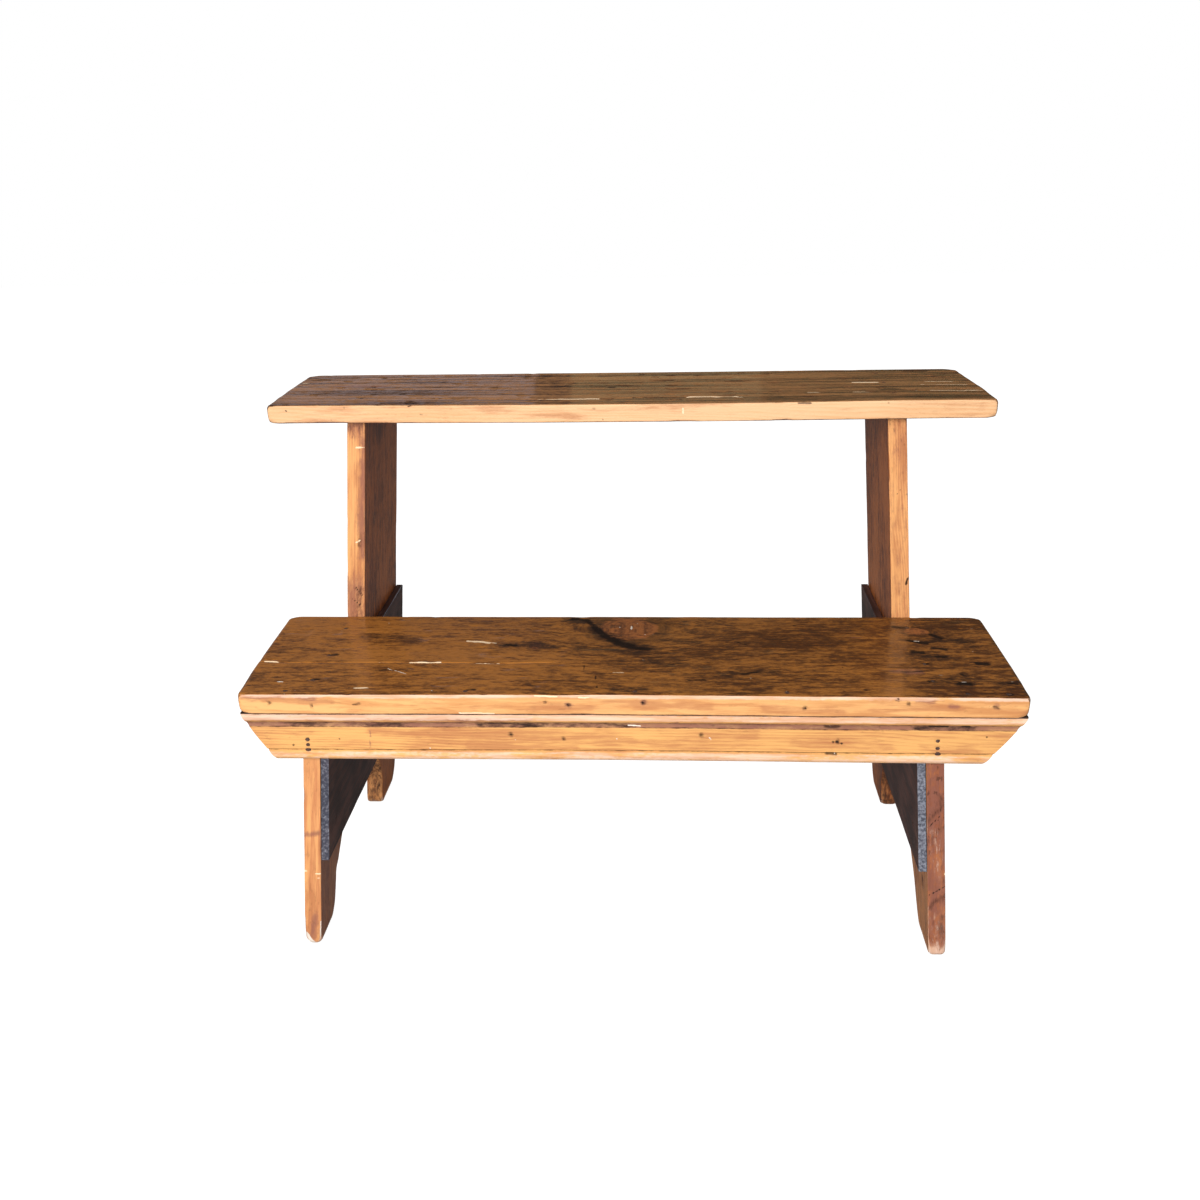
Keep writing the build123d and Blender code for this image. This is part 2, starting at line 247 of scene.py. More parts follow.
def make_piece(name, points, quads, triangles, marks, finish):
    """A mesh object from points, faces and named values or vectors, which replaces its node."""
    p = points[quads]
    volume = np.einsum("ij,ij->i", p[:, 0], np.cross(p[:, 1], p[:, 2])).sum()
    volume += np.einsum("ij,ij->i", p[:, 0], np.cross(p[:, 2], p[:, 3])).sum()
    if volume < 0:
        quads, triangles = quads[:, ::-1], triangles[:, ::-1]
    mesh = bpy.data.meshes.new(name)
    corners = np.concatenate([quads.ravel(), triangles.ravel()])
    sizes = np.concatenate([np.full(len(quads), 4), np.full(len(triangles), 3)])
    starts = np.concatenate([[0], np.cumsum(sizes)[:-1]])
    mesh.vertices.add(len(points))
    mesh.vertices.foreach_set("co", points.ravel())
    mesh.loops.add(len(corners))
    mesh.loops.foreach_set("vertex_index", corners.astype(np.int32))
    mesh.polygons.add(len(sizes))
    mesh.polygons.foreach_set("loop_start", starts.astype(np.int32))
    mesh.update(calc_edges=True)
    mesh.polygons.foreach_set("use_smooth", np.ones(len(sizes), bool))
    for mark, values in marks.items():
        vector = values.ndim == 2
        attribute = mesh.attributes.new(mark, "FLOAT_VECTOR" if vector else "FLOAT", "POINT")
        attribute.data.foreach_set("vector" if vector else "value", values.ravel())
    mesh.validate()
    mesh.materials.append(finish)
    piece = put_in_scene(f"{name}_board", mesh)
    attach(piece, "root")
    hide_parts(name)


def grown(local, pith, seed, knots=()):
    """The grain's own coordinates at the points, and how far off the nearest knot is, in knots.

    pith is how far the log's heart lies from the board's zero, across and through it. A knot is
    its place along and across, half length and half width; the grain parts round it.
    """
    grain = local.copy()
    nearest = np.full(len(local), 4.0)
    for place, side, length, width in knots:
        dx, dy = (local[:, 0] - place) / length, (local[:, 1] - side) / width
        nearest = np.minimum(nearest, np.hypot(dx, dy))
        push = width * 0.9 * np.exp(-((dx / 2.6) ** 2)) * np.exp(-np.abs(dy) / 2.2)
        grain[:, 1] -= push * np.tanh(dy * 1.5)
    grain += (0.73 * seed, pith[0], pith[1])
    return grain, nearest


class Field:
    """A shader socket that plain arithmetic can be done on."""

    def __init__(self, shader, socket):
        self.shader = shader
        self.socket = socket

    def math(self, operation, *others):
        return self.shader.node("ShaderNodeMath", {"operation": operation}, (self, *others))

    def __add__(self, other):
        return self.math("ADD", other)

    def __sub__(self, other):
        return self.math("SUBTRACT", other)

    def __rsub__(self, other):
        return self.shader.node("ShaderNodeMath", {"operation": "SUBTRACT"}, (other, self))

    def __mul__(self, other):
        return self.math("MULTIPLY", other)

    def between(self, low, high):
        """0 up to low, 1 from high, and a smooth rise between."""
        settings = {"interpolation_type": "SMOOTHSTEP"}
        return self.shader.node("ShaderNodeMapRange", settings, (self, low, high, 0.0, 1.0))

    __radd__ = __add__
    __rmul__ = __mul__


class Nodes:
    """A node tree, whose nodes are made as they are asked for."""

    def __init__(self, tree):
        self.tree = tree

    def node(self, kind, settings=None, values=(), output=0):
        """A new node's output. values are its inputs in order, or by name or number."""
        made = self.tree.nodes.new(kind)
        for key, setting in (settings or {}).items():
            setattr(made, key, setting)
        for key, value in values.items() if isinstance(values, dict) else enumerate(values):
            self.plug(made.inputs[key], value)
        return Field(self, made.outputs[output]) if output is not None else made

    def plug(self, socket, value):
        if isinstance(value, Field):
            self.tree.links.new(value.socket, socket)
        else:
            socket.default_value = value


class Shader(Nodes):
    """A material's nodes."""

    def __init__(self, name):
        self.material = bpy.data.materials.new(name)
        self.material.use_nodes = True
        super().__init__(self.material.node_tree)

    def mark(self, name, output="Fac"):
        """A named value of the mesh's points."""
        return self.node("ShaderNodeAttribute", {"attribute_name": name}, output=output)

    def noise(self, at, stretch, detail, roughness, distortion=0.0):
        where = self.node("ShaderNodeVectorMath", {"operation": "MULTIPLY"}, (at, stretch))
        values = {"Vector": where, "Scale": 1.0, "Detail": detail, "Roughness": roughness}
        return self.node("ShaderNodeTexNoise", None, {**values, "Distortion": distortion})

    def mix(self, first, second, share):
        """A colour between two colours."""
        colours = [(*c, 1.0) if isinstance(c, tuple) else c for c in (first, second)]
        settings = {"data_type": "RGBA", "clamp_factor": True}
        return self.node("ShaderNodeMix", settings, {0: share, 6: colours[0], 7: colours[1]}, 2)

    def bump(self, strength, distance, height):
        values = {"Strength": strength, "Distance": distance, "Height": height}
        return self.node("ShaderNodeBump", None, values)

    def finish(self, **inputs):
        """Fills the surface's sockets, named as in Base_Color, and gives the material."""
        surface = self.tree.nodes["Principled BSDF"]
        for key, value in inputs.items():
            value = (*value, 1.0) if isinstance(value, tuple) else value
            self.plug(surface.inputs[key.replace("_", " ")], value)
        return self.material


# Colours that all the old pine shares.
FIGURE_BROWN = (0.44, 0.165, 0.068)
DASH_DARK = (0.035, 0.013, 0.006)
KNOT_AMBER = ((0.36, 0.12, 0.032), (0.12, 0.036, 0.012))
KNOT_PITCH = (0.022, 0.009, 0.006)
# Purplish brown for stains, and also for the painted shadow at the shelves' front joints.
STAIN_AND_SHADE_PURPLISH = (0.27, 0.105, 0.075)
SHADE_DARK = (0.03, 0.012, 0.007)
PORE_DARK = (0.035, 0.016, 0.01)
# Pale worn wood, also used for the painted highlight on the apron's beads.
WORN_AND_HIGHLIGHT_PALE = ((0.84, 0.58, 0.44), (0.7, 0.4, 0.25))
CHIP_FRESH = (0.92, 0.68, 0.44)
# Black for dirt, and also for painted shade at the joints and along the groove's edges.
GRIME_AND_SHADE_BLACK = (0.016, 0.009, 0.007)
FLECK_PAINT = (0.78, 0.68, 0.58)
RINGS_PER_METRE = 300.0


def old_pine(name, bare, aged, gloss, shine, streaks=(13.0, 170.0), streaked=0.26, dashed=0.6):
    """Old varnished pine. bare is new wood's light and dark colours, aged the old varnish's, and
    gloss and shine are how strong and how rough its coat is. streaks is how many streaks there
    are to a metre along and across, streaked how much they show, and dashed how dark the short
    dark ones among them are.

    Its marks: patina is old varnish, tone makes wood lighter, figure is brown flames of grain,
    stain and shade purplish stains and also the painted shadow at the shelves' front joints, and
    shade soft dark marks and also painted shade under the shelves. worn is varnish worn off, and on
    the apron's beads also partly a painted highlight; chip is fresh pale wood, grime and shade black
    dirt and also painted shade at those joints and along the apron groove's edges, fleck specks of
    pale paint, and knot how far off a knot is, in its sizes."""
    s = Shader(name)
    grain = s.mark("grain", "Vector")
    along, across, through = (
        s.node("ShaderNodeSeparateXYZ", None, (grain,), output=axis) for axis in range(3)
    )

    # Growth rings about the log's heart, which wander and taper along the board.
    wander = s.noise(grain, (2.2, 9.0, 9.0), 3.0, 0.55) - 0.5
    centre = s.node("ShaderNodeCombineXYZ", None, (0.0, across + wander * 0.03, through))
    radius = s.node("ShaderNodeVectorMath", {"operation": "LENGTH"}, (centre,), "Value")
    phase = ((radius + along * 0.012 + wander * 0.012) * RINGS_PER_METRE).math("FRACT")
    late = phase.between(0.25, 0.82) * (1 - phase.between(0.9, 1.0)) - 0.5
    fibre = s.noise(grain, (26.0, 560.0, 560.0), 3.0, 0.6)
    long, fine = streaks
    streak = s.noise(grain, (long, fine, fine), 5.0, 0.62)
    mottle = s.noise(grain, (34.0, 90.0, 90.0), 6.0, 0.7, 0.15)
    patch = s.noise(grain, (5.0, 11.0, 11.0), 3.0, 0.55)
    flake = s.noise(grain, (105.0, 290.0, 290.0), 4.0, 0.66)
    old_share = s.mark("patina")
    pore = s.noise(grain, (95.0, 300.0, 300.0), 2.0, 0.5).between(0.61, 0.68)
    pore = pore * patch.between(0.44, 0.6) * old_share.between(-0.5, 1.0)
    dash = s.noise(grain, (long * 2.4, fine, fine), 4.0, 0.6).between(0.55, 0.64)
    tone = s.mark("tone") * 0.06

    share = streak * 0.4 + fibre * 0.2 + patch * 0.3 + late * 0.08 - tone + 0.05
    new = s.mix(*bare, share.between(0.4, 0.62))
    figure = s.noise(grain, (7.0, 66.0, 66.0), 6.0, 0.7) + s.mark("figure") * 0.16
    new = s.mix(new, FIGURE_BROWN, figure.between(0.5, 0.7) * 0.62)
    share = (mottle * 0.44 + patch * 0.24 + flake * 0.32) * (1 - streaked) + streak * streaked - tone
    old = s.mix(*aged, share.between(0.435, 0.575))
    old = s.mix(old, DASH_DARK, dash * (patch - tone).between(0.34, 0.62) * dashed)
    patina = old_share + (streak - 0.5) * 0.5 + (patch - 0.5) * 0.3
    colour = s.mix(new, old, patina.between(0.1, 0.9))

    # Knots: amber, with dark pitch round them.
    knot = s.mark("knot") + (mottle - 0.5)
    heart = 1 - knot.between(0.85, 1.1)
    halo = (1 - knot.between(0.95, 1.8)) * (1 - heart)
    share = (flake * 0.6 + mottle * 0.4).between(0.42, 0.6)
    colour = s.mix(colour, s.mix(*KNOT_AMBER, share), heart)
    colour = s.mix(colour, KNOT_PITCH, halo * 0.5)
    rough = (mottle - 0.5) * 1.1 + (flake - 0.5) * 0.9
    # Purplish stains, and also the painted shadow in the joints under the shelves' front edges.
    stain = (s.mark("stain") + rough + (fibre - 0.5) * 0.8).between(0.2, 1.0)
    colour = s.mix(colour, STAIN_AND_SHADE_PURPLISH, stain * 0.75)
    shade = (s.mark("shade") + rough).between(0.16, 0.9)
    colour = s.mix(colour, SHADE_DARK, shade * 0.85)
    colour = s.mix(colour, PORE_DARK, pore * 0.6)

    # Wear takes the varnish off first where the wood is proud, so it breaks up in streaks.
    worn = (s.mark("worn") + (fibre - 0.5) * 0.5 + (flake - 0.5) * 0.7).between(0.42, 0.78)
    pale = s.mix(*WORN_AND_HIGHLIGHT_PALE, streak.between(0.4, 0.66))
    colour = s.mix(colour, pale, worn * 0.8)
    chip = (s.mark("chip") + (fibre - 0.5) * 0.6).between(0.38, 0.62)
    colour = s.mix(colour, CHIP_FRESH, chip)
    # Black dirt, and also painted shade: the shadow in the joints under the shelves' front edges and
    # along the apron groove's edges.
    grime = (s.mark("grime") + (mottle - 0.5) * 0.6 + (flake - 0.5) * 0.7).between(0.26, 0.74)
    colour = s.mix(colour, GRIME_AND_SHADE_BLACK, grime * 0.93)
    fleck = (s.mark("fleck") + (fibre - 0.5) * 0.4).between(0.4, 0.55)
    colour = s.mix(colour, FLECK_PAINT, fleck)

    dull = (worn + chip + grime * 0.7).math("MINIMUM", 1.0)
    coat = (1 - dull) * ((flake + mottle) * 0.5).between(0.42, 0.56) * patina.between(0.3, 0.8) * gloss
    height = fibre * 0.4 + late * 0.3 + flake * 0.5 + mottle * 0.9 - pore * 0.4
    return s.finish(
        Base_Color=colour,
        Roughness=dull * 0.3 + (flake - 0.5) * 0.2 + 0.45,
        Specular_IOR_Level=0.3,
        Coat_Weight=coat.math("MINIMUM", 1.0),
        Coat_Roughness=shine,
        Coat_IOR=1.48,
        Normal=s.bump(0.5, 0.0006, height),
    )


END_PINE = old_pine(
    "old_pine_ends",
    bare=((0.8, 0.39, 0.15), (0.56, 0.22, 0.09)),
    aged=((0.45, 0.135, 0.032), (0.195, 0.05, 0.0125)),
    gloss=0.05,
    shine=0.25,
)


def inner_x(side_name, height):
    """X of an end's inner face at a height."""
    spread = SPREAD[side_name] * (SPREAD_HEIGHT - height)
    return ENDS_X + SIDES[side_name] * (HALF_INSIDE + spread)


def arc(height, start, middle, end):
    """Where an arc through three (across, height) points lies across, at a height."""
    (ax, ay), (bx, by), (cx, cy) = start, middle, end
    d = 2 * (ax * (by - cy) + bx * (cy - ay) + cx * (ay - by))
    a, b, c = ax**2 + ay**2, bx**2 + by**2, cx**2 + cy**2
    mid_x = (a * (by - cy) + b * (cy - ay) + c * (ay - by)) / d
    mid_y = (a * (cx - bx) + b * (ax - cx) + c * (bx - ax)) / d
    reach = (ax - mid_x) ** 2 + (ay - mid_y) ** 2
    return mid_x + np.sign(bx - mid_x) * np.sqrt(np.maximum(reach - (height - mid_y) ** 2, 0))


def foot_inset(height, radius):
    """How far a foot's rounded corner stands back at a height."""
    return radius - np.sqrt(radius**2 - np.clip(radius - height, 0, radius) ** 2)


def rear_front_edge(toe):
    """An upright's front edge: the foot, half of the arch, and the seam with the leg."""

    def edge(height):
        foot = REAR_FOOT_FRONT + foot_inset(height, toe)
        foot_top = (REAR_FOOT_FRONT, REAR_ARCH_FOOT)
        bow = arc(height, (SEAM_Y, ARCH_TOP), REAR_ARCH_MIDDLE, foot_top)
        return np.where(height < REAR_ARCH_FOOT, foot, np.where(height < ARCH_TOP, bow, SEAM_Y))

    return edge


def end_board(name, low, high, thick, top, foot, seed, knots, patina, stained, **edge_marks):
    """A leg or an upright: its board, wear and marks. foot is how far its foot's arrises are worn
    round, and patina and stained are its front edge's and inner face's. edge_marks are strokes on
    the front edge, in (height, out from the inner face)."""
    side_name = name.split("_")[0]
    near_arch = ARCH_TOP - 0.0001 * np.arange(26) ** 2  # closer together towards the arch's top
    stations = spaced(0, top, step=0.0032, easing=ROUNDED_EASING)
    along = np.unique(np.concatenate([stations, near_arch]))

    def roundness(p):
        chips = 0.0022 * ramp(cloud(p, (26, 26, 26), seed + 1), 0.45, 0.8)
        at_foot = foot * np.exp(-((p[:, 0] / 0.017) ** 2))
        return 0.0016 + 0.0008 * cloud(p, (38, 38, 60), seed, 2) + at_foot + chips

    local, quads, triangles, edge = plank(along, low, high, thick, roundness, step=0.0034)
    normal = facing(local, quads, triangles)
    hollow = 0.0003 + 0.0003 * np.abs(cloud(local, (9, 22, 22), seed + 2, 2))
    local = local - normal * hollow[:, None]
    grain, knot = grown(local, (0.02, 0.05), seed, knots)

    front = squarely(-normal[:, 1])
    back = squarely(normal[:, 1])
    inward = squarely(-normal[:, 2])
    near_floor = np.exp(-((local[:, 0] / 0.014) ** 2))
    # The rear feet's fronts, back behind the legs, are made darker, browner and less worn.
    behind = front * ramp(local[:, 1], SEAM_Y - 0.02, SEAM_Y)  # the rear feet's fronts
    behind *= ramp(local[:, 0], ARCH_TOP + 0.01, ARCH_TOP)
    scuffs = cloud(local, (30, 60, 60), seed + 5, 2)
    drawn = draw(local, (front, [0, 2], edge_marks))
    faces = 0.6 - 0.1 * back + front * (patina[0] - 0.6) + inward * (patina[1] - 0.6)
    arris = ramp(edge, 0.06, 0.3)
    rim = ramp(local[:, 0], 0.06, 0.01) * (1 - 0.5 * behind)
    worn = arris * ((0.4 + 0.5 * scuffs) * (1 - 0.6 * behind) + 0.5 * rim)
    worn += near_floor * (0.75 + 0.5 * scuffs) + 0.5 * drawn["worn"]
    grime = 0.5 * ramp(cloud(local, (14, 45, 45), seed + 4, 3), 0.42, 0.9) * (1 - 0.7 * front)
    # Painted shade under each shelf: the top of every leg and upright is darkened.
    shade_under_shelf = 0.5 * ramp(local[:, 0], top - 0.04, top)
    stain = np.maximum(stained[0] * front, stained[1] * inward)
    rim_flecks = ramp(edge, 0.05, 0.3) * rim * (0.34 + 0.5 * scuffs)
    marks = {
        "grain": grain,
        "knot": knot,
        "patina": faces + 0.4 * behind,
        "tone": 1.2 * cloud(local, (5, 12, 12), seed + 7, 2) + drawn["tone"],
        "worn": worn,
        "grime": np.maximum.reduce([grime, drawn["grime"], 0.5 * behind]),
        "shade": np.maximum(shade_under_shelf, 0.5 * drawn["shade"]),
        "stain": np.maximum.reduce([drawn["stain"], 0.35 * behind, stain]),
        "chip": drawn["chip"],
        "figure": drawn["figure"],
        "fleck": np.maximum(drawn["fleck"], rim_flecks),
    }
    x = inner_x(side_name, local[:, 0]) + SIDES[side_name] * local[:, 2]
    world = np.stack([x, local[:, 1], local[:, 0]], axis=1)
    make_piece(name, world, quads, triangles, marks, END_PINE)


def rear_back_edge(heel):
    return lambda height: BACK_Y - foot_inset(height, heel)


end_board(
    "left_rear_upright",
    rear_front_edge(REAR_TOE_ROUND["left"]),
    rear_back_edge(REAR_HEEL_ROUND["left"]),
    UPRIGHT_THICK,
    UPRIGHT_TOP,
    foot=0.0045,
    seed=11,
    knots=((0.21, 0.16, 0.011, 0.007), (0.52, 0.09, 0.009, 0.006)),
    patina=(0.1, 1.0),
    stained=(0.0, 0.0),
    stain=(
        (0.036, (0.71, 0.014), (0.676, 0.008)), (0.014, (0.66, 0.002), (0.48, 0.004)),
        (0.05, (0.42, 0.008), (0.375, 0.014)),
    ),
    figure=((0.016, (0.62, 0.006), (0.45, 0.008)),),
    shade=(
        (0.01, (0.688, 0.008), (0.672, 0.007)), (0.01, (0.512, 0.006), (0.496, 0.01)),
        (0.017, (0.425, 0.006), (0.38, 0.012)),
    ),
    tone=((0.012, (0.66, 0.024), (0.42, 0.026)),),
    grime=((0.0012, (0.43, 0.014), (0.418, 0.004)), (0.0012, (0.412, 0.02), (0.402, 0.006))),
    chip=((0.002, (0.648, 0.002), (0.647, 0.014)), (0.0024, (0.504, 0.008), (0.502, 0.014))),
)
end_board(
    "right_rear_upright",
    rear_front_edge(REAR_TOE_ROUND["right"]),
    rear_back_edge(REAR_HEEL_ROUND["right"]),
    UPRIGHT_THICK,
    UPRIGHT_TOP,
    foot=0.0085,
    seed=12,
    knots=((0.25, 0.12, 0.01, 0.006), (0.57, 0.18, 0.009, 0.006)),
    patina=(0.16, 0.9),
    stained=(0.3, 0.1),
    figure=((0.01, (0.65, 0.018), (0.52, 0.014)), (0.008, (0.5, 0.01), (0.42, 0.012))),
    grime=(
        (0.0022, (0.578, 0.016)), (0.002, (0.573, 0.012)), (0.0022, (0.571, 0.023), (0.572, 0.027)),
        (0.003, (0.445, 0.025), (0.436, 0.023)),
    ),
    tone=((0.014, (0.68, 0.002), (0.4, 0.002)),),
)


# Front legs. Two shorter pine boards butted against the uprights at the seam, which carry the
# lower shelf's front. Their backs are sawn to the arch's other half by hand, so the two differ.
LEG_THICK = 0.024
LEG_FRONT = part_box("left_front_leg")[0].y
# The outline up each leg's back, as distances behind the front and heights: the heel, a nib that
# the saw left on the left leg, and the arch's bow.
LEG_OUTLINE = {
    "left": [(0.099, -0.005), (0.1095, 0.058), (0.112, 0.0685), (0.121, 0.074), (0.158, 0.112)],
    "right": [(0.096, -0.005), (0.125, 0.052), (0.166, 0.099)],
}
LEG_HEEL_ROUND = {"left": 0.024, "right": 0.014}
SETTLED = (  # the lower shelf is bowed: at these X its front lies this much lower than flat
    (-0.52, -0.36, -0.20, -0.05, 0.10, 0.25, 0.52),
    (0.0024, 0.0019, 0.0011, 0.0002, 0.0003, 0.0009, 0.0013),
)


def slant(height, start, end):
    """Where a line through two (across, height) points lies across, at a height."""
    return start[0] + (height - start[1]) * (end[0] - start[0]) / (end[1] - start[1])


def leg_back_edge(outline, heel_round):
    """A leg's back edge: its foot, then arcs that each take in three of the outline's points."""
    points = [(FRONT_Y + across, up) for across, up in outline] + [(SEAM_Y, ARCH_TOP)]

    def edge(height):
        curve = slant(height, points[0], points[1])
        for start, middle, end in zip(points[1::2], points[2::2], points[3::2]):
            curve = np.where(height < start[1], curve, arc(height, start, middle, end))
        return np.where(height < ARCH_TOP, curve, SEAM_Y) - foot_inset(height, heel_round)

    return edge


def settled(x):
    """How much lower than flat the lower shelf's front lies at X."""
    return np.interp(x, *SETTLED)


LEG_TOP = {
    side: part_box(f"{side}_front_leg")[1].z - settled(inner_x(side, SPREAD_HEIGHT)) for side in SIDES
}
end_board(
    "left_front_leg",
    level(LEG_FRONT),
    leg_back_edge(LEG_OUTLINE["left"], LEG_HEEL_ROUND["left"]),
    LEG_THICK,
    LEG_TOP["left"],
    foot=0.0075,
    seed=21,
    knots=((0.09, -0.2, 0.008, 0.006),),
    patina=(0.0, 0.42),
    stained=(0.0, 0.85),
    stain=((0.007, (0.172, 0.002), (0.168, 0.022)), (0.012, (0.045, 0.008), (0.015, 0.012))),
    figure=((0.01, (0.265, 0.016), (0.215, 0.014)), (0.012, (0.08, 0.012), (0.02, 0.012))),
    fleck=((0.0022, (0.036, 0.0008), (0.012, 0.0016)), (0.006, (0.016, 0.021), (0.005, 0.012))),
    chip=(
        (0.0025, (0.113, 0.02), (0.114, 0.024)), (0.0022, (0.11, 0.0), (0.11, 0.008)),
        (0.0018, (0.104, 0.001), (0.104, 0.006)),
    ),
)
end_board(
    "right_front_leg",
    level(LEG_FRONT),
    leg_back_edge(LEG_OUTLINE["right"], LEG_HEEL_ROUND["right"]),
    LEG_THICK,
    LEG_TOP["right"],
    foot=0.006,
    seed=22,
    knots=((0.09, -0.2, 0.008, 0.006),),
    patina=(0.75, 0.5),
    stained=(0.85, 0.2),
    grime=(
        (0.0012, (0.092, 0.002), (0.098, 0.012), (0.106, 0.024)),
        (0.001, (0.19, 0.002), (0.206, 0.016)),
    ),
    shade=(
        (0.012, (0.236, 0.02), (0.222, 0.021)), (0.014, (0.056, 0.02), (0.036, 0.017)),
        (0.008, (0.2, 0.002), (0.222, 0.022)), (0.008, (0.15, 0.018), (0.11, 0.022)),
        (0.008, (0.074, 0.002), (0.092, 0.022)), (0.007, (0.172, 0.002), (0.192, 0.022)),
    ),
    worn=((0.034, (0.182, 0.01), (0.12, 0.01)), (0.034, (0.06, 0.008), (0.0, 0.01))),
    chip=((0.0024, (0.124, 0.022), (0.121, 0.024)),),
    tone=((0.012, (0.16, 0.006), (0.12, 0.012)),),
)


# Inner cleats. A thin board nailed across each leg and upright from the inside, up under the
# lower shelf. They are painted black over the wood, and the paint is rubbed grey on the arrises.
CLEAT_THICK = 0.0115
CLEAT_BOTTOM = {"left": 0.130, "right": 0.1255}
CLEAT_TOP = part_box("lower_shelf")[0].z
CLEAT_WEAR = {"left": (0.0, 0.3), "right": (0.13, 0.0)}  # paler front end, and worn top edge
CLEAT_SEED = {"left": 31, "right": 32}
CLEAT_NAILS = [
    (FRONT_Y + 0.062, 0.176),
    (FRONT_Y + 0.066, 0.318),
    (SEAM_Y - 0.074, 0.312),
    (SEAM_Y - 0.062, 0.222),
    (SEAM_Y + 0.056, 0.218),
    (SEAM_Y + 0.062, 0.316),
    (BACK_Y - 0.046, 0.320),
    (BACK_Y - 0.052, 0.178),
]
PIT = 0.0055  # half the width of the dimple that a nail's head lies in
PIT_DEEP = 0.0008


def black_paint():
    """Thin black paint, brushed along the board and rubbed through to grey at the arrises."""
    s = Shader("old_black_paint")
    grain = s.mark("grain", "Vector")
    brush = s.noise(grain, (6.0, 260.0, 260.0), 4.0, 0.6)
    blotch = s.noise(grain, (14.0, 34.0, 34.0), 4.0, 0.6)
    share = (brush * 0.5 + blotch * 0.5).between(0.42, 0.62)
    colour = s.mix((0.045, 0.021, 0.018), (0.14, 0.062, 0.047), share)
    paler = (brush + s.mark("rubbed")).between(0.44, 0.84)
    grey = s.mix((0.05, 0.06, 0.085), (0.3, 0.33, 0.39), paler)
    worn = (s.mark("worn") + (blotch - 0.5) * 0.6 + (brush - 0.5) * 0.5).between(0.3, 0.75)
    colour = s.mix(colour, grey, worn * 0.8)
    chip = (s.mark("chip") + (brush - 0.5) * 0.3).between(0.4, 0.6)
    colour = s.mix(colour, (0.62, 0.55, 0.5), chip)
    return s.finish(
        Base_Color=colour,
        Roughness=worn * 0.2 + (brush - 0.5) * 0.2 + 0.5,
        Specular_IOR_Level=0.2,
        Normal=s.bump(0.5, 0.0005, brush + blotch),
    )


CLEAT_FINISH = black_paint()
for side_name, side in SIDES.items():
    seed = CLEAT_SEED[side_name]

    def roundness(p, seed=seed):
        return 0.0013 + 0.0007 * cloud(p, (30, 30, 30), seed, 2)

    local, quads, triangles, edge = plank(
        spaced(LEG_FRONT, BACK_Y, step=0.004),
        level(CLEAT_BOTTOM[side_name]),
        level(CLEAT_TOP - settled(inner_x(side_name, SPREAD_HEIGHT))),
        CLEAT_THICK,
        roundness,
        step=0.0034,
    )
    normal = facing(local, quads, triangles)
    hollow = 0.0003 + 0.0003 * np.abs(cloud(local, (12, 20, 20), seed + 1, 2))
    inward = squarely(normal[:, 2])
    pits = inward * ramp(strokes(local[:, :2], *[(PIT, place) for place in CLEAT_NAILS]), 0, 0.5)
    local = local - normal * (hollow + PIT_DEEP * pits)[:, None]
    front_end = squarely(-normal[:, 0])
    top_edge = squarely(normal[:, 1])
    paler_end, top_wear = CLEAT_WEAR[side_name]
    arris = np.minimum(ramp(normal[:, 1], 0.15, 0.5), ramp(normal[:, 2], 0.15, 0.5))
    arris *= min(1, 4 * top_wear)
    marks = {
        "grain": local + (0.31 * seed, 0, 0),
        "worn": ramp(edge, 0.04, 0.22) * 0.9 + front_end * 0.75 + top_edge * top_wear + arris,
        "rubbed": front_end * paler_end + ramp(edge, 0.04, 0.22) * 0.1 + 0.25 * arris,
        "chip": ramp(cloud(local, (60, 60, 60), seed + 2), 0.88, 0.97) * ramp(edge, 0.02, 0.2),
    }
    x = inner_x(side_name, local[:, 1]) - side * local[:, 2]
    world = np.stack([x, local[:, 0], local[:, 1]], axis=1)
    name = f"{side_name}_inner_cleat"
    make_piece(name, world, quads, triangles, marks, CLEAT_FINISH)


# Lower shelf. One wide pine board, nailed down on the legs and cleats. Its top is dark and glossy
# with old varnish, scarred by a long split, gouges and knots; its front is bare and orange.
LOWER_MIDDLE_X = 0.0013
LOWER_LENGTH = 1.0315
LOWER_OUT_OF_SQUARE = {"left": (0.0075, 0.0), "right": (0.0, 0.002)}  # how short, front and back
LOWER_BACK_CORNER = 0.017
SHELF_FRONT_CORNER = 0.006
FLATTER_BACK = 0.8  # how much less a shelf's back edge is bent than its front
SPLIT_DEEP, SPLIT_WIDE = 0.0028, 0.0007
SPLIT_LINES = (-0.0022, -0.0009, 0.0, 0.0009, 0.0022)  # the mesh's lines along a split
LOWER_CRACK = np.array([
    (-0.506, -0.150), (-0.450, -0.1545), (-0.343, -0.1527),
    (-0.254, -0.1532), (-0.171, -0.1566), (-0.094, -0.1515),
])
LOWER_PINE = old_pine(
    "old_pine_lower_shelf",
    bare=((0.81, 0.425, 0.165), (0.6, 0.265, 0.095)),
    aged=((0.39, 0.145, 0.025), (0.095, 0.029, 0.006)),
    gloss=0.85,
    shine=0.15,
)


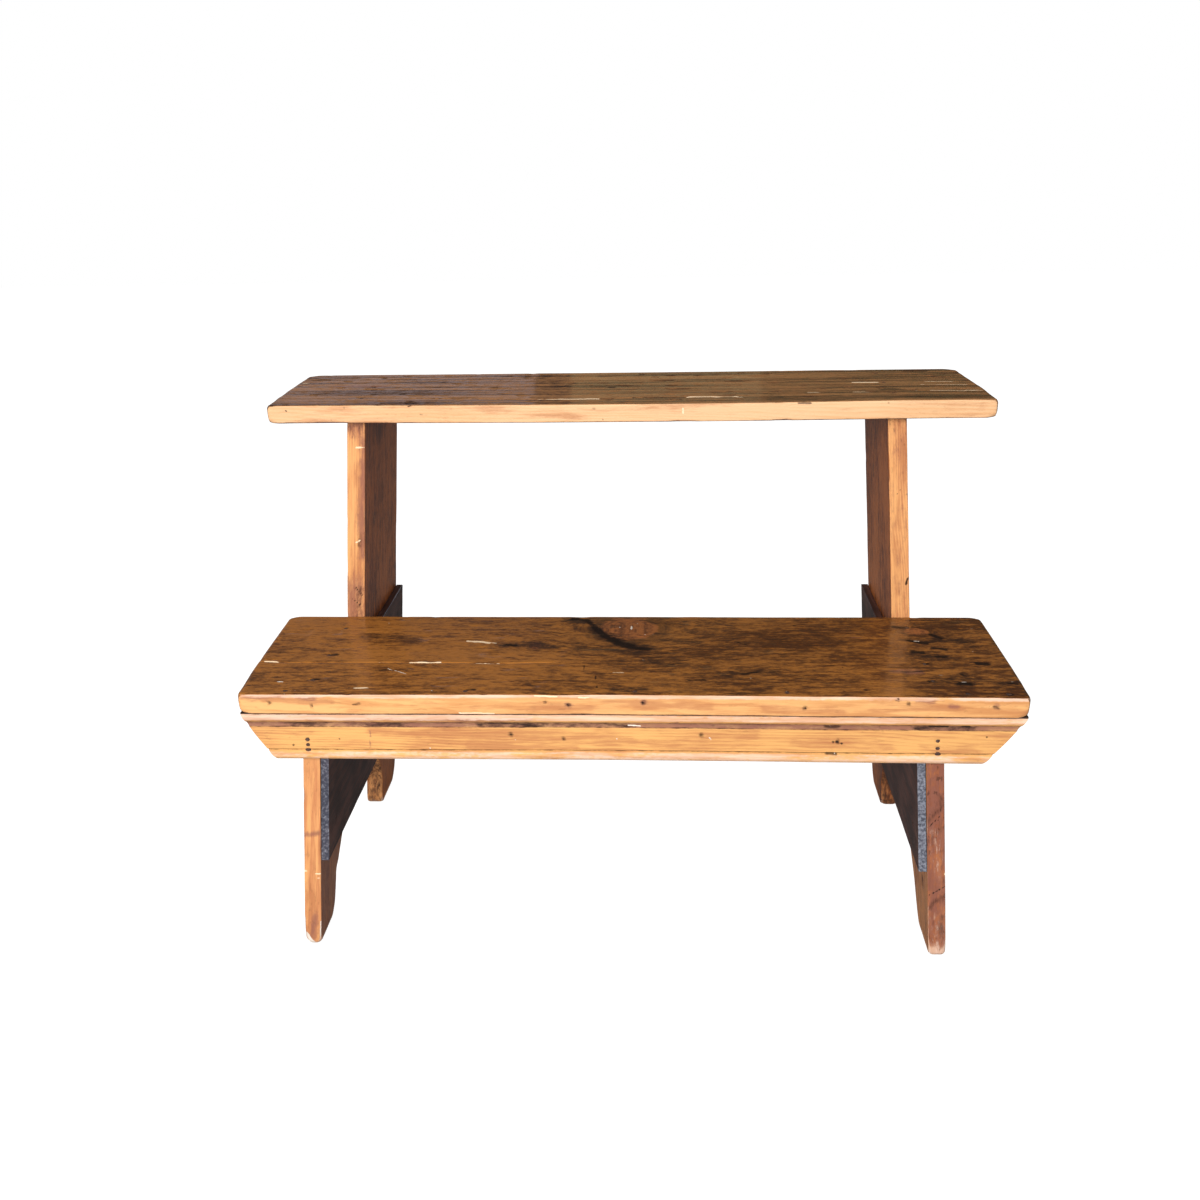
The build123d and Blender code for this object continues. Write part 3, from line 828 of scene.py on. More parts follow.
def shelf(name, middle_x, length, out_of_square, corner, back_corner, bend, crack, seed, knots,
          fade, wear, nails, finish, top_marks, front_marks):
    """A shelf with its split, dents and wear. corner is how round its front corners' arrises are,
    bend gives how low its front lies at X, fade is how much lighter its left and right ends are,
    and wear how worn its front's upper edge is."""
    lowest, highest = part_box(name)
    left, right = middle_x - length / 2, middle_x + length / 2
    thick = highest.z - lowest.z

    def edge_of(start, radius, sense):
        def place(along):
            inset = foot_inset(along - left, radius) + foot_inset(right - along, radius)
            return start + sense * inset

        return place

    def roundness(p):
        nicks = 0.0016 * ramp(cloud(p, (22, 22, 22), seed + 1), 0.4, 0.8)
        from_end = np.minimum(p[:, 0] - left, right - p[:, 0])
        near_corner = ramp(p[:, 1], lowest.y + 0.09, lowest.y + 0.02)
        under = ramp(p[:, 2], 0.7 * thick, 0.3 * thick)
        ends = ramp(from_end, 0.02, 0.005) * (0.001 + corner * near_corner * (1 + 0.5 * under))
        return 0.0031 + 0.0008 * cloud(p, (30, 30, 60), seed, 3) + nicks + ends

    split_y = float(np.mean(crack[:, 1]))
    local, quads, triangles, edge = plank(
        spaced(left, right, step=0.003, easing=ROUNDED_EASING),
        edge_of(lowest.y, SHELF_FRONT_CORNER, 1),
        edge_of(highest.y, back_corner, -1),
        thick,
        roundness,
        step=0.0021,
        extra=[split_y + offset for offset in SPLIT_LINES],
    )
    rightward = (local[:, 0] - left) / length
    backward = (local[:, 1] - lowest.y) / (highest.y - lowest.y)
    short = {side: np.interp(backward, (0, 1), ends) for side, ends in out_of_square.items()}
    local[:, 0] += short["left"] * (1 - rightward) - short["right"] * rightward
    normal = facing(local, quads, triangles)
    top = squarely(normal[:, 2])
    front = squarely(-normal[:, 1])
    # Painted shadow: the underside just behind each shelf's front edge is darkened and browned; on the
    # lower shelf this is the joint over the apron.
    shade_under_lip = ramp(-normal[:, 2], 0.15, 0.6) * ramp(local[:, 1], lowest.y + 0.006, lowest.y + 0.002)
    shade_under_lip *= ramp(length / 2 - np.abs(local[:, 0] - middle_x), 0.004, 0.024)

    # The split, which the board's own lines follow, then its planing, dents and nail holes.
    from_split = local[:, 1] - split_y
    drift = np.interp(local[:, 0], *crack.T) - split_y
    drift += 0.0007 * cloud(local * (1, 0, 0), (60, 1, 1), seed + 7, 2)
    start, end = crack[0, 0], crack[-1, 0]
    gap = ramp(local[:, 0], start - 0.01, start) * ramp(local[:, 0], end + 0.01, end - 0.03)
    gap *= top * np.exp(-((from_split / SPLIT_WIDE) ** 2))
    local[:, 1] += drift * np.exp(-((from_split / 0.02) ** 2)) * top
    planed = 0.0005 + 0.0004 * np.abs(cloud(local, (4, 16, 16), seed + 2, 3))
    planed *= 1 - squarely(np.abs(normal[:, 0]))
    dents = 0.0008 * top * ramp(cloud(local, (45, 70, 70), seed + 3), 0.55, 0.95)
    pits = top * ramp(strokes(local[:, :2], *[(PIT, place) for place in nails]), 0, 0.5)
    local = local - normal * (planed + dents + pits * PIT_DEEP)[:, None]
    local[:, 2] -= gap * SPLIT_DEEP
    grain, knot = grown(local, (0.05, 0.03), seed, knots)
    lower = bend(local[:, 0]) * (1 - FLATTER_BACK * np.clip(backward, 0, 1))
    local[:, 2] += lowest.z - lower

    scuffs = cloud(local, (24, 60, 60), seed + 5, 2)
    drawn = draw(local, (top, [0, 1], top_marks), (front, [0, 2], front_marks))
    faded = top * np.interp(rightward, (0, 1), fade)
    band = wear * front * ramp(local[:, 2] + lower, highest.z - 0.0095, highest.z - 0.003)
    arris = ramp(edge, 0.03, 0.26) * (0.3 + 0.5 * front) * (0.1 + 0.6 * wear)
    marks = {
        "grain": grain,
        "knot": np.where(top > 0.2, knot, 4.0),
        "patina": 1.0 - 1.05 * front,
        "tone": 0.6 * cloud(local, (4, 14, 14), seed + 8, 2) + faded + drawn["tone"],
        "worn": arris * (1 + scuffs) + band * (1 + 0.5 * scuffs),
        "grime": np.maximum.reduce([gap * 0.8, drawn["grime"], pits * 0.6, shade_under_lip * 0.5]),
        "stain": np.maximum(drawn["stain"], shade_under_lip),
        "shade": np.maximum(drawn["shade"], 0.75 * drawn["haze"]),
        **{key: drawn[key] for key in ("chip", "fleck", "figure")},
    }
    make_piece(name, local, quads, triangles, marks, finish)


def dots(half_width, *places):
    """Marks of one size at single places."""
    return [(half_width, place) for place in places]


LEG_NAIL_X = {side: inner_x(side, SPREAD_HEIGHT) + SIDES[side] * LEG_THICK / 2 for side in SIDES}
LEG_NAIL_Y = {"left": (0.050, 0.136, 0.238), "right": (0.054, 0.111, 0.245)}
LEG_NAILS = {side: [(LEG_NAIL_X[side], FRONT_Y + y) for y in LEG_NAIL_Y[side]] for side in SIDES}
APRON_TOP_NAILS = [(x, FRONT_Y + 0.014) for x in (-0.443, -0.205, 0.016, 0.211, 0.439, 0.490)]

# Strokes on the top, in X and Y, and on the front, in X and Z. haze is a weaker shade.
LOWER_TOP_MARKS = {
    "chip": [
        (0.004, (-0.5, -0.15), (-0.481, -0.1525)), (0.0014, (-0.444, -0.155), (-0.425, -0.155)),
        (0.0014, (-0.34, -0.1527), (-0.318, -0.1529)), (0.0036, (-0.296, -0.153), (-0.254, -0.1532)),
        (0.0013, (-0.205, -0.155), (-0.171, -0.1566)), (0.0055, (-0.228, -0.074), (-0.195, -0.08)),
        (0.002, (-0.19, -0.081), (-0.184, -0.083)), (0.0034, (-0.353, -0.24), (-0.335, -0.239)),
        (0.0016, (-0.015, -0.1875), (0.0, -0.1873)),
    ],
    "tone": [
        (0.006, (-0.087, -0.06), (-0.043, -0.058)), (0.004, (0.17, -0.115), (0.28, -0.114)),
        (0.05, (-0.33, -0.12), (-0.24, -0.13)),
    ],
    "haze": [
        (0.03, (-0.375, -0.056), (-0.309, -0.074)), (0.02, (-0.499, -0.201), (-0.49, -0.201)),
        (0.036, (-0.18, -0.095), (-0.125, -0.088)), (0.02, (-0.112, -0.09), (-0.09, -0.092)),
        (0.034, (-0.06, -0.1), (0.03, -0.125)), (0.02, (0.045, -0.071), (0.1, -0.071)),
        (0.024, (0.145, -0.19), (0.195, -0.182)), (0.024, (0.03, -0.15), (0.085, -0.16)),
        (0.018, (-0.01, -0.2435), (0.03, -0.2435)), (0.024, (0.444, -0.06), (0.477, -0.071)),
        (0.026, (0.4, -0.126), (0.44, -0.127)), (0.03, (0.425, -0.205), (0.455, -0.205)),
        (0.024, (0.485, -0.214), (0.508, -0.214)),
    ],
    "shade": [
        (0.01, (-0.16, -0.093), (-0.142, -0.09)), (0.022, (-0.084, 0.012), (-0.062, 0.006)),
        (0.022, (-0.05, -0.02), (-0.028, -0.056)), (0.026, (-0.03, -0.06), (0.02, -0.102)),
        (0.01, (0.154, -0.19), (0.18, -0.184)), (0.014, (0.39, -0.064), (0.425, -0.072), (0.44, -0.056)),
        (0.01, (0.424, -0.126), (0.434, -0.127)), (0.01, (0.443, -0.1845), (0.449, -0.186)),
        (0.012, (0.432, -0.218), (0.449, -0.218)), (0.004, (0.355, -0.1765), (0.394, -0.1777)),
    ],
    "grime": [
        (0.01, (-0.083, 0.016), (-0.062, 0.009), (-0.052, -0.01)),
        (0.013, (-0.048, -0.02), (-0.029, -0.0546)), (0.015, (-0.03, -0.054), (-0.008, -0.084)),
        (0.019, (-0.01, -0.086), (0.006, -0.098)), (0.012, (0.008, -0.099), (0.028, -0.1035)),
        (0.009, (-0.168, -0.088), (-0.158, -0.09)), (0.008, (0.386, -0.0135), (0.399, -0.0175)),
        (0.008, (0.397, -0.068), (0.419, -0.0795)), (0.009, (0.432, -0.045), (0.444, -0.06)),
        (0.004, (-0.332, -0.1795), (-0.321, -0.177)), (0.003, (-0.284, -0.197), (-0.277, -0.197)),
        (0.007, (-0.412, -0.127), (-0.404, -0.127)), (0.006, (-0.416, -0.212), (-0.408, -0.2125)),
        (0.006, (-0.202, -0.2447), (-0.193, -0.2447)), (0.0012, (-0.0545, -0.163), (-0.0535, -0.19)),
        (0.0012, (-0.0385, -0.19), (-0.0335, -0.238)),
        (0.0024, (0.157, -0.077), (0.163, -0.083), (0.17, -0.088)),
        (0.004, (0.085, -0.2115), (0.107, -0.2112)), (0.006, (0.156, -0.19), (0.176, -0.184)),
        (0.007, (0.424, -0.126), (0.433, -0.127)), (0.008, (0.433, -0.218), (0.448, -0.219)),
        (0.006, (0.5, -0.214), (0.508, -0.215)),
        *dots(0.0028, (-0.3668, -0.1788), (-0.385, -0.197), (0.131, -0.208), (0.292, -0.165)),
        *dots(0.003, (-0.415, -0.2565), (0.287, -0.113), (0.283, -0.243)),
        *dots(0.0075, (0.404, -0.152), (0.446, -0.186), (0.494, -0.248), (0.397, -0.209)),
        (0.009, (0.474, -0.15), (0.486, -0.152)), (0.008, (0.424, -0.098), (0.44, -0.1)),
        (0.009, (0.396, -0.11), (0.408, -0.112)),
        *dots(0.0045, (0.311, -0.238), (0.211, -0.249), (0.242, -0.0104)),
    ],
    "stain": [(0.003, (0.318, -0.057), (0.334, -0.057)), (0.012, (0.357, -0.176), (0.39, -0.1775))],
    "fleck": [
        (0.0013, (-0.322, -0.1752), (-0.293, -0.1928)), (0.0026, (-0.462, -0.22), (-0.455, -0.22)),
        (0.0018, (0.403, -0.07), (0.41, -0.0705)), (0.0016, (0.487, -0.021), (0.4955, -0.021)),
        (0.0016, (0.413, -0.189), (0.419, -0.189)), (0.0016, (0.438, -0.212), (0.445, -0.211)),
        (0.0016, (0.004, -0.01), (0.006, -0.028)),
        *dots(0.0017, (-0.338, -0.115), (-0.356, -0.004), (-0.235, -0.0033), (-0.281, -0.254)),
        *dots(0.0017, (-0.249, -0.248), (-0.4424, -0.2586), (-0.431, -0.2475), (0.0895, -0.012)),
        *dots(0.0018, (-0.0985, -0.043), (0.024, -0.143), (0.119, -0.133), (0.109, -0.193)),
        *dots(0.0018, (0.1664, -0.2035), (0.032, -0.0125), (0.026, -0.048), (0.037, -0.047)),
        *dots(0.0022, (-0.019, 0.0013), (0.0135, -0.004), (-0.012, -0.02), (0.44, -0.248)),
        *dots(0.0017, (0.438, -0.089), (0.476, -0.107), (0.3085, -0.194), (0.494, -0.247)),
        *dots(0.0016, (0.503, -0.209), (0.509, -0.217), (0.24, -0.007), (0.211, -0.244)),
    ],
}
LOWER_FRONT_MARKS = {
    "tone": [(0.04, (-0.5, 0.37), (-0.26, 0.368))],
    "figure": [
        (0.014, (-0.19, 0.367), (-0.04, 0.3655)), (0.01, (0.02, 0.372), (0.11, 0.37)),
        (0.014, (0.32, 0.374), (0.42, 0.374)), (0.008, (-0.47, 0.376), (-0.38, 0.374)),
        (0.008, (0.18, 0.366), (0.28, 0.365)),
    ],
    "shade": [
        *dots(0.0048, (-0.462, 0.3716), (-0.406, 0.3678), (-0.099, 0.3745), (0.3615, 0.3757)),
        *dots(0.0052, (-0.07, 0.3714), (0.027, 0.3748), (0.2325, 0.3693), (0.349, 0.3824)),
        (0.004, (0.468, 0.3722), (0.474, 0.3712)), (0.003, (-0.35, 0.3696), (-0.341, 0.37)),
    ],
    "grime": [
        *dots(0.0022, (-0.4625, 0.3716), (-0.405, 0.368), (-0.07, 0.3708), (0.027, 0.3748)),
        *dots(0.0022, (0.233, 0.369), (0.3495, 0.382), (0.362, 0.3752), (0.462, 0.3735)),
    ],
    "stain": [
        (0.007, (-0.4265, 0.3816), (-0.4, 0.379)), (0.009, (0.376, 0.3825), (0.392, 0.38)),
        (0.007, (0.414, 0.3735), (0.424, 0.373)), (0.009, (-0.5, 0.381), (-0.44, 0.382)),
        *dots(0.008, (-0.07, 0.3714), (0.027, 0.3748), (0.349, 0.3824), (0.471, 0.3718)),
    ],
    "chip": [
        (0.0018, (-0.212, 0.359), (-0.166, 0.3588)), (0.0022, (-0.112, 0.3835), (-0.084, 0.3825)),
        (0.0022, (-0.056, 0.3815), (-0.043, 0.3815)),
    ],
}
shelf(
    "lower_shelf",
    LOWER_MIDDLE_X,
    LOWER_LENGTH,
    LOWER_OUT_OF_SQUARE,
    corner=0.0045,
    back_corner=LOWER_BACK_CORNER,
    bend=settled,
    crack=LOWER_CRACK,
    seed=41,
    knots=(
        (-0.128, -0.092, 0.0085, 0.015), (-0.001, -0.024, 0.043, 0.046), (0.413, -0.034, 0.017, 0.013),
    ),
    fade=(0.5, -0.35),
    wear=0.8,
    nails=LEG_NAILS["left"] + LEG_NAILS["right"] + APRON_TOP_NAILS,
    finish=LOWER_PINE,
    top_marks=LOWER_TOP_MARKS,
    front_marks=LOWER_FRONT_MARKS,
)


# Apron. A narrow pine board with a bead run along both edges, nailed on edge under the lower
# shelf's front and sawn back at a slant at its ends. Dirt and old paint lie in its groove.
APRON_LOW, APRON_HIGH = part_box("front_apron")
APRON_TALL = APRON_HIGH.z - APRON_LOW.z
APRON_THICK = LEG_FRONT - APRON_LOW.y
TOP_BEAD = 0.013
TOP_BEAD_DEEP = 0.0036  # how far it rounds back at its edges
LOW_BEAD = 0.014
LOW_BEAD_DEEP = 0.003  # how far it rounds back at the apron's bottom
COVE_DROP = 0.0065
COVE_DEEP = 0.001
FASCIA_SETBACK = 0.0032
QUIRK = 0.0018
GROOVE_HEIGHT = APRON_TALL - TOP_BEAD - COVE_DROP / 2  # the cove's middle, over the apron's bottom
END_INSET = 0.0025
END_SLANT = {"left": 0.046, "right": 0.056}
END_BOW = 0.003
APRON_NAIL_Z = {"left": (0.3170, 0.3095, 0.3023), "right": (0.3215, 0.3115, 0.3040)}
APRON_NAILS = {side: [(LEG_NAIL_X[side], z) for z in APRON_NAIL_Z[side]] for side in SIDES}
APRON_PIT = 0.0044
APRON_PINE = old_pine(
    "old_pine_apron",
    bare=((0.77, 0.4, 0.135), (0.54, 0.235, 0.085)),
    aged=((0.3, 0.17, 0.1), (0.11, 0.065, 0.045)),
    gloss=0.35,
    shine=0.2,
)


def moulding(height):
    """How deep the apron's front is cut back, at a height above the apron's bottom."""
    half = TOP_BEAD / 2
    bead_foot = APRON_TALL - TOP_BEAD
    from_bead = np.clip(height - (APRON_TALL - half), -half, half)
    reach = (half**2 + TOP_BEAD_DEEP**2) / (2 * TOP_BEAD_DEEP)
    top_bead = reach - np.sqrt(reach**2 - from_bead**2)
    bulge = (TOP_BEAD_DEEP + COVE_DEEP, bead_foot - COVE_DROP / 2)
    cove = arc(height, (TOP_BEAD_DEEP, bead_foot), bulge, (FASCIA_SETBACK, bead_foot - COVE_DROP))
    deep = FASCIA_SETBACK + QUIRK
    quirk = FASCIA_SETBACK + QUIRK * np.clip((LOW_BEAD + QUIRK - height) / QUIRK, 0, 1)
    proudest = (FASCIA_SETBACK - QUIRK, LOW_BEAD * 0.55)
    low_bead = arc(height, (deep, LOW_BEAD), proudest, (FASCIA_SETBACK + LOW_BEAD_DEEP, 0.0))
    limits = (bead_foot, bead_foot - COVE_DROP, LOW_BEAD)
    return np.select([height > limit for limit in limits], [top_bead, cove, quirk], low_bead)


def cut_back(height, side_name):
    """How far the apron's sawn end stands inside its top corner, at a height above its bottom."""
    share = height / APRON_TALL
    return END_SLANT[side_name] * (1 - share) - 4 * END_BOW * share * (1 - share)


def apron_roundness(p):
    return 0.0006 + 0.0003 * cloud(p, (40, 60, 60), 51, 2)


front_left = LOWER_MIDDLE_X - LOWER_LENGTH / 2 + LOWER_OUT_OF_SQUARE["left"][0] + END_INSET
front_right = LOWER_MIDDLE_X + LOWER_LENGTH / 2 - END_INSET
local, quads, triangles, edge = plank(
    spaced(front_left, front_right, step=0.0022),
    level(0.0),
    level(APRON_TALL),
    APRON_THICK,
    apron_roundness,
    step=0.0012,
    extra=(LOW_BEAD, LOW_BEAD + QUIRK, APRON_TALL - TOP_BEAD - COVE_DROP, APRON_TALL - TOP_BEAD),
)
normal = facing(local, quads, triangles)
front = squarely(normal[:, 2])
height = local[:, 1].copy()
share = (local[:, 0] - front_left) / (front_right - front_left)
sawn = {"left": np.clip(1 - 4 * share, 0, 1) ** 2, "right": np.clip(4 * share - 3, 0, 1) ** 2}
local[:, 0] += sawn["left"] * cut_back(height, "left") - sawn["right"] * cut_back(height, "right")
lower = settled(local[:, 0])
at = np.stack([local[:, 0], APRON_LOW.z + height - lower], axis=1)
nail_places = APRON_NAILS["left"] + APRON_NAILS["right"]
pits = front * ramp(strokes(at, *[(APRON_PIT, place) for place in nail_places]), 0.05, 0.35)
depth = moulding(height)
depth += pits * (np.maximum(depth, FASCIA_SETBACK) + PIT_DEEP - depth)
local[:, 2] -= depth * local[:, 2] / APRON_THICK
normal = facing(local, quads, triangles)
local = local - normal * (0.0002 + 0.0003 * np.abs(cloud(local, (10, 40, 40), 52, 2)))[:, None]
grain, knot = grown(local, (0.03, 0.03), 53)
from_groove = np.abs(height - GROOVE_HEIGHT)
groove = ramp(from_groove, COVE_DROP / 2 + 0.0008, COVE_DROP / 2 - 0.0008)
# Painted shade: two dark lines along the groove's edges.
groove_edge_shade = np.exp(-(((from_groove - COVE_DROP / 2) / 0.0009) ** 2))
quirk_line = np.exp(-(((height - LOW_BEAD - 0.0004) / 0.001) ** 2))
# Painted shadow in the joint: the top of the apron, just under the shelf's front, is darkened and
# browned.
joint_shadow = ramp(height, APRON_TALL - 0.0022, APRON_TALL - 0.0011)
bead_foot = APRON_TALL - TOP_BEAD
bead_top = ramp(height, bead_foot + 0.001, bead_foot + 0.005)
# The beads' upper faces are painted pale: partly wear, partly a painted highlight.
bead_wear_and_highlight = np.maximum(bead_top, 0.8 * ramp(height, LOW_BEAD, LOW_BEAD - 0.002))
dirt = 0.1 + 0.25 * cloud(local, (24, 60, 60), 54, 3)
groove_z = APRON_LOW.z + GROOVE_HEIGHT
dirtiest = [(-0.438, -0.292), (-0.186, 0.022), (0.375, 0.445)]
dirt += 0.42 * strokes(at, *[(0.012, (start, groove_z), (end, groove_z)) for start, end in dirtiest])
wear = cloud(local, (20, 90, 90), 56, 3)

# Strokes on the front, in X and Z.
APRON_MARKS = {
    "grime": [
        *dots(0.0024, (-0.146, 0.3265), (-0.078, 0.3205), (-0.373, 0.3185), (0.463, 0.3284)),
        *dots(0.0034, (-0.4348, 0.3092), (0.2755, 0.3205), (0.281, 0.3185), (0.27, 0.3195)),
        (0.003, (0.391, 0.342), (0.414, 0.342)), (0.0026, (0.432, 0.342), (0.441, 0.342)),
    ],
    "tone": [(0.03, (-0.44, 0.32), (-0.3, 0.322))],
    "figure": [
        (0.012, (-0.23, 0.331), (-0.12, 0.326), (0.01, 0.3225)), (0.008, (-0.33, 0.33), (-0.23, 0.327)),
        (0.007, (-0.2, 0.311), (-0.06, 0.3095)), (0.01, (0.05, 0.329), (0.17, 0.327)),
        (0.012, (0.22, 0.323), (0.34, 0.316)), (0.008, (-0.48, 0.329), (-0.41, 0.327)),
        (0.01, (0.38, 0.313), (0.45, 0.309)),
    ],
    "shade": [
        *dots(0.006, (-0.146, 0.3265), (-0.078, 0.3205), (0.2755, 0.3205), (0.102, 0.3281)),
        (0.005, (0.26, 0.341), (0.276, 0.341)), (0.003, (0.261, 0.3035), (0.274, 0.303)),
    ],
    "stain": [
        (0.0016, (-0.332, 0.33), (-0.3335, 0.3055)), (0.006, (0.0635, 0.345), (0.07, 0.345)),
        (0.009, (-0.5, 0.349), (-0.44, 0.3485)), (0.007, (-0.43, 0.348), (-0.12, 0.3485)),
    ],
    "fleck": [
        *dots(0.0016, (-0.1197, 0.3225), (-0.0075, 0.3215), (-0.2535, 0.3067), (0.2715, 0.3035)),
        *dots(0.0014, (-0.141, 0.319), (-0.116, 0.308), (0.405, 0.343), (0.266, 0.341)),
        (0.0022, (0.112, 0.324), (0.1126, 0.3215)), (0.0016, (0.007, 0.3405), (0.016, 0.34)),
        (0.0014, (0.018, 0.3395), (0.0225, 0.3395)),
    ],
}
drawn = draw(at, (front, [0, 1], APRON_MARKS))
marks = {
    "grain": grain,
    "knot": knot,
    "patina": 0.8 + front * (0.6 * groove + 0.1 * bead_wear_and_highlight - 0.8),
    "tone": 1.2 * cloud(local, (5, 20, 20), 55, 2) + drawn["tone"],
    "worn": front * bead_wear_and_highlight * (0.8 + 0.35 * wear) * (1 - groove) + ramp(edge, 0.03, 0.25) * 0.2,
    "grime": np.maximum.reduce([
        front * np.maximum.reduce([groove * dirt, groove_edge_shade * 0.55, quirk_line * 0.6]),
        joint_shadow * 0.8,
        pits * 0.42,
        drawn["grime"],
    ]),
    "stain": np.maximum.reduce([drawn["stain"], front * groove * (0.8 + wear * 0.4), joint_shadow]),
    "shade": drawn["shade"],
    "figure": drawn["figure"],
    "chip": drawn["chip"],
    "fleck": drawn["fleck"],
}
world = np.stack([local[:, 0], LEG_FRONT - local[:, 2], APRON_LOW.z + local[:, 1] - lower], axis=1)
make_piece("front_apron", world, quads, triangles, marks, APRON_PINE)


# Upper shelf. One pine board nailed down on the uprights. Its top is streakier than the lower
# one's, with a split along its front where pale wood shows, and its front is a light peach.
UPPER_LENGTH = 1.050
UPPER_OUT_OF_SQUARE = {"left": (0.002, 0.0), "right": (0.0, 0.010)}
UPPER_BACK_CORNER = 0.024
UPPER_SAG = 0.0018
UPPER_CRACK = np.array([
    (-0.314, 0.056), (-0.184, 0.0445), (-0.128, 0.0415), (-0.0385, 0.0416), (0.020, 0.049), (0.160, 0.049)
])
UPPER_PINE = old_pine(
    "old_pine_upper_shelf",
    bare=((0.81, 0.5, 0.275), (0.74, 0.41, 0.2)),
    aged=((0.4, 0.175, 0.06), (0.075, 0.031, 0.012)),
    gloss=0.95,
    shine=0.09,
    streaks=(1.8, 66.0),
    streaked=0.55,
    dashed=0.8,
)


def sagging(x):
    """How far the upper shelf hangs down at X, between the uprights."""
    return UPPER_SAG * np.clip(1 - ((x - ENDS_X) / HALF_INSIDE) ** 2, 0, 1)


UPRIGHT_NAIL_X = {
    side: inner_x(side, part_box("upper_shelf")[1].z) + SIDES[side] * UPRIGHT_THICK / 2 for side in SIDES
}
UPRIGHT_NAIL_Y = (SEAM_Y + 0.034, SEAM_Y + 0.122, BACK_Y - 0.034)
UPRIGHT_NAILS = {side: [(UPRIGHT_NAIL_X[side], y) for y in UPRIGHT_NAIL_Y] for side in SIDES}
UPPER_TOP_MARKS = {
    "chip": [
        (0.0036, (-0.128, 0.0415), (-0.0385, 0.0416)), (0.0036, (0.089, 0.0507), (0.161, 0.0486)),
        (0.007, (0.342, 0.1465), (0.375, 0.1445)), (0.004, (-0.5166, 0.1853), (-0.509, 0.1867)),
        (0.002, (0.437, 0.1224), (0.504, 0.1186)), (0.002, (0.448, 0.1488), (0.489, 0.1464)),
        (0.0024, (0.443, 0.0763), (0.5165, 0.0723)), (0.004, (0.498, 0.0733), (0.506, 0.0729)),
        (0.0026, (0.264, 0.0715), (0.282, 0.0706)), (0.0026, (0.156, 0.0457), (0.168, 0.042)),
        (0.0022, (0.33, 0.07), (0.356, 0.069)),
    ],
    "fleck": [(0.0022, (-0.199, 0.045), (-0.184, 0.0443)), *dots(0.003, (0.4217, 0.0774))],
    "grime": [
        (0.0022, (-0.31, 0.0555), (-0.2, 0.0455)), (0.0026, (0.01, 0.0485), (0.085, 0.05)),
        *dots(0.0034, (-0.385, 0.192), (-0.37, 0.1125), (-0.019, 0.139), (0.016, 0.205)),
        *dots(0.0046, (0.124, 0.123), (-0.412, 0.013)),
    ],
    "shade": [(0.012, (0.376, 0.09), (0.392, 0.09)), (0.01, (-0.4, 0.12), (-0.39, 0.12))],
    "stain": [(0.014, (-0.456, 0.157), (-0.38, 0.153))],
}
UPPER_FRONT_MARKS = {
    "grime": [
        (0.0018, (-0.313, 0.713), (-0.3006, 0.7165)),
        *dots(0.0018, (-0.4468, 0.7105), (-0.491, 0.708), (-0.426, 0.6935), (-0.082, 0.6912)),
        *dots(0.0018, (-0.056, 0.6905), (-0.032, 0.6912), (0.001, 0.6912), (0.318, 0.7125)),
    ],
    "shade": [
        *dots(0.0032, (-0.2925, 0.7003), (-0.407, 0.712), (0.37, 0.712), (-0.045, 0.7085)),
        (0.0024, (0.244, 0.7125), (0.262, 0.7125)),
    ],
    "chip": [(0.0013, (0.0823, 0.7075), (0.0823, 0.699))],
}
shelf(
    "upper_shelf",
    0.0,
    UPPER_LENGTH,
    UPPER_OUT_OF_SQUARE,
    corner=0.004,
    back_corner=UPPER_BACK_CORNER,
    bend=sagging,
    crack=UPPER_CRACK,
    seed=61,
    knots=(),
    fade=(0.2, 0.0),
    wear=0.12,
    nails=UPRIGHT_NAILS["left"] + UPRIGHT_NAILS["right"],
    finish=UPPER_PINE,
    top_marks=UPPER_TOP_MARKS,
    front_marks=UPPER_FRONT_MARKS,
)


# Cut nails. Wedge-shaped iron shanks under small oblong heads, which hold everything together:
# down through the shelves, in through the apron, and through each cleat into leg and upright.
NAIL_LENGTHS = {"shelf": 0.060, "apron_top": 0.050, "apron_face": 0.038, "cleat": 0.032}
NAIL_SIZES = {
    "Head Length": 0.0075,
    "Head Width": 0.005,
    "Head Thickness": 0.0016,
    "Shank Width": 0.005,
    "Shank Tip": 0.0022,
    "Shank Flat": 0.003,
    "Sink": 0.0006,  # the head's top lies this far under the wood
    "Hammered": 0.0005,  # how far off true its surface is
}
NAIL_SEED = 71


def rusty_iron():
    """Blackened iron with brown rust, and bare grey where it is rubbed."""
    s = Shader("rusty_nail_iron")
    place = s.node("ShaderNodeTexCoord", output="Object")
    scale = s.noise(place, (700.0, 700.0, 700.0), 4.0, 0.6)
    spots = s.noise(place, (230.0, 230.0, 230.0), 3.0, 0.55)
    colour = s.mix((0.055, 0.042, 0.04), (0.17, 0.08, 0.05), scale.between(0.42, 0.62))
    rubbed = spots.between(0.55, 0.68)
    colour = s.mix(colour, (0.26, 0.23, 0.22), rubbed * 0.6)
    return s.finish(
        Base_Color=colour,
        Metallic=rubbed * 0.5 + 0.3,
        Roughness=0.62 - rubbed * 0.25,
        Normal=s.bump(0.6, 0.0002, scale),
    )


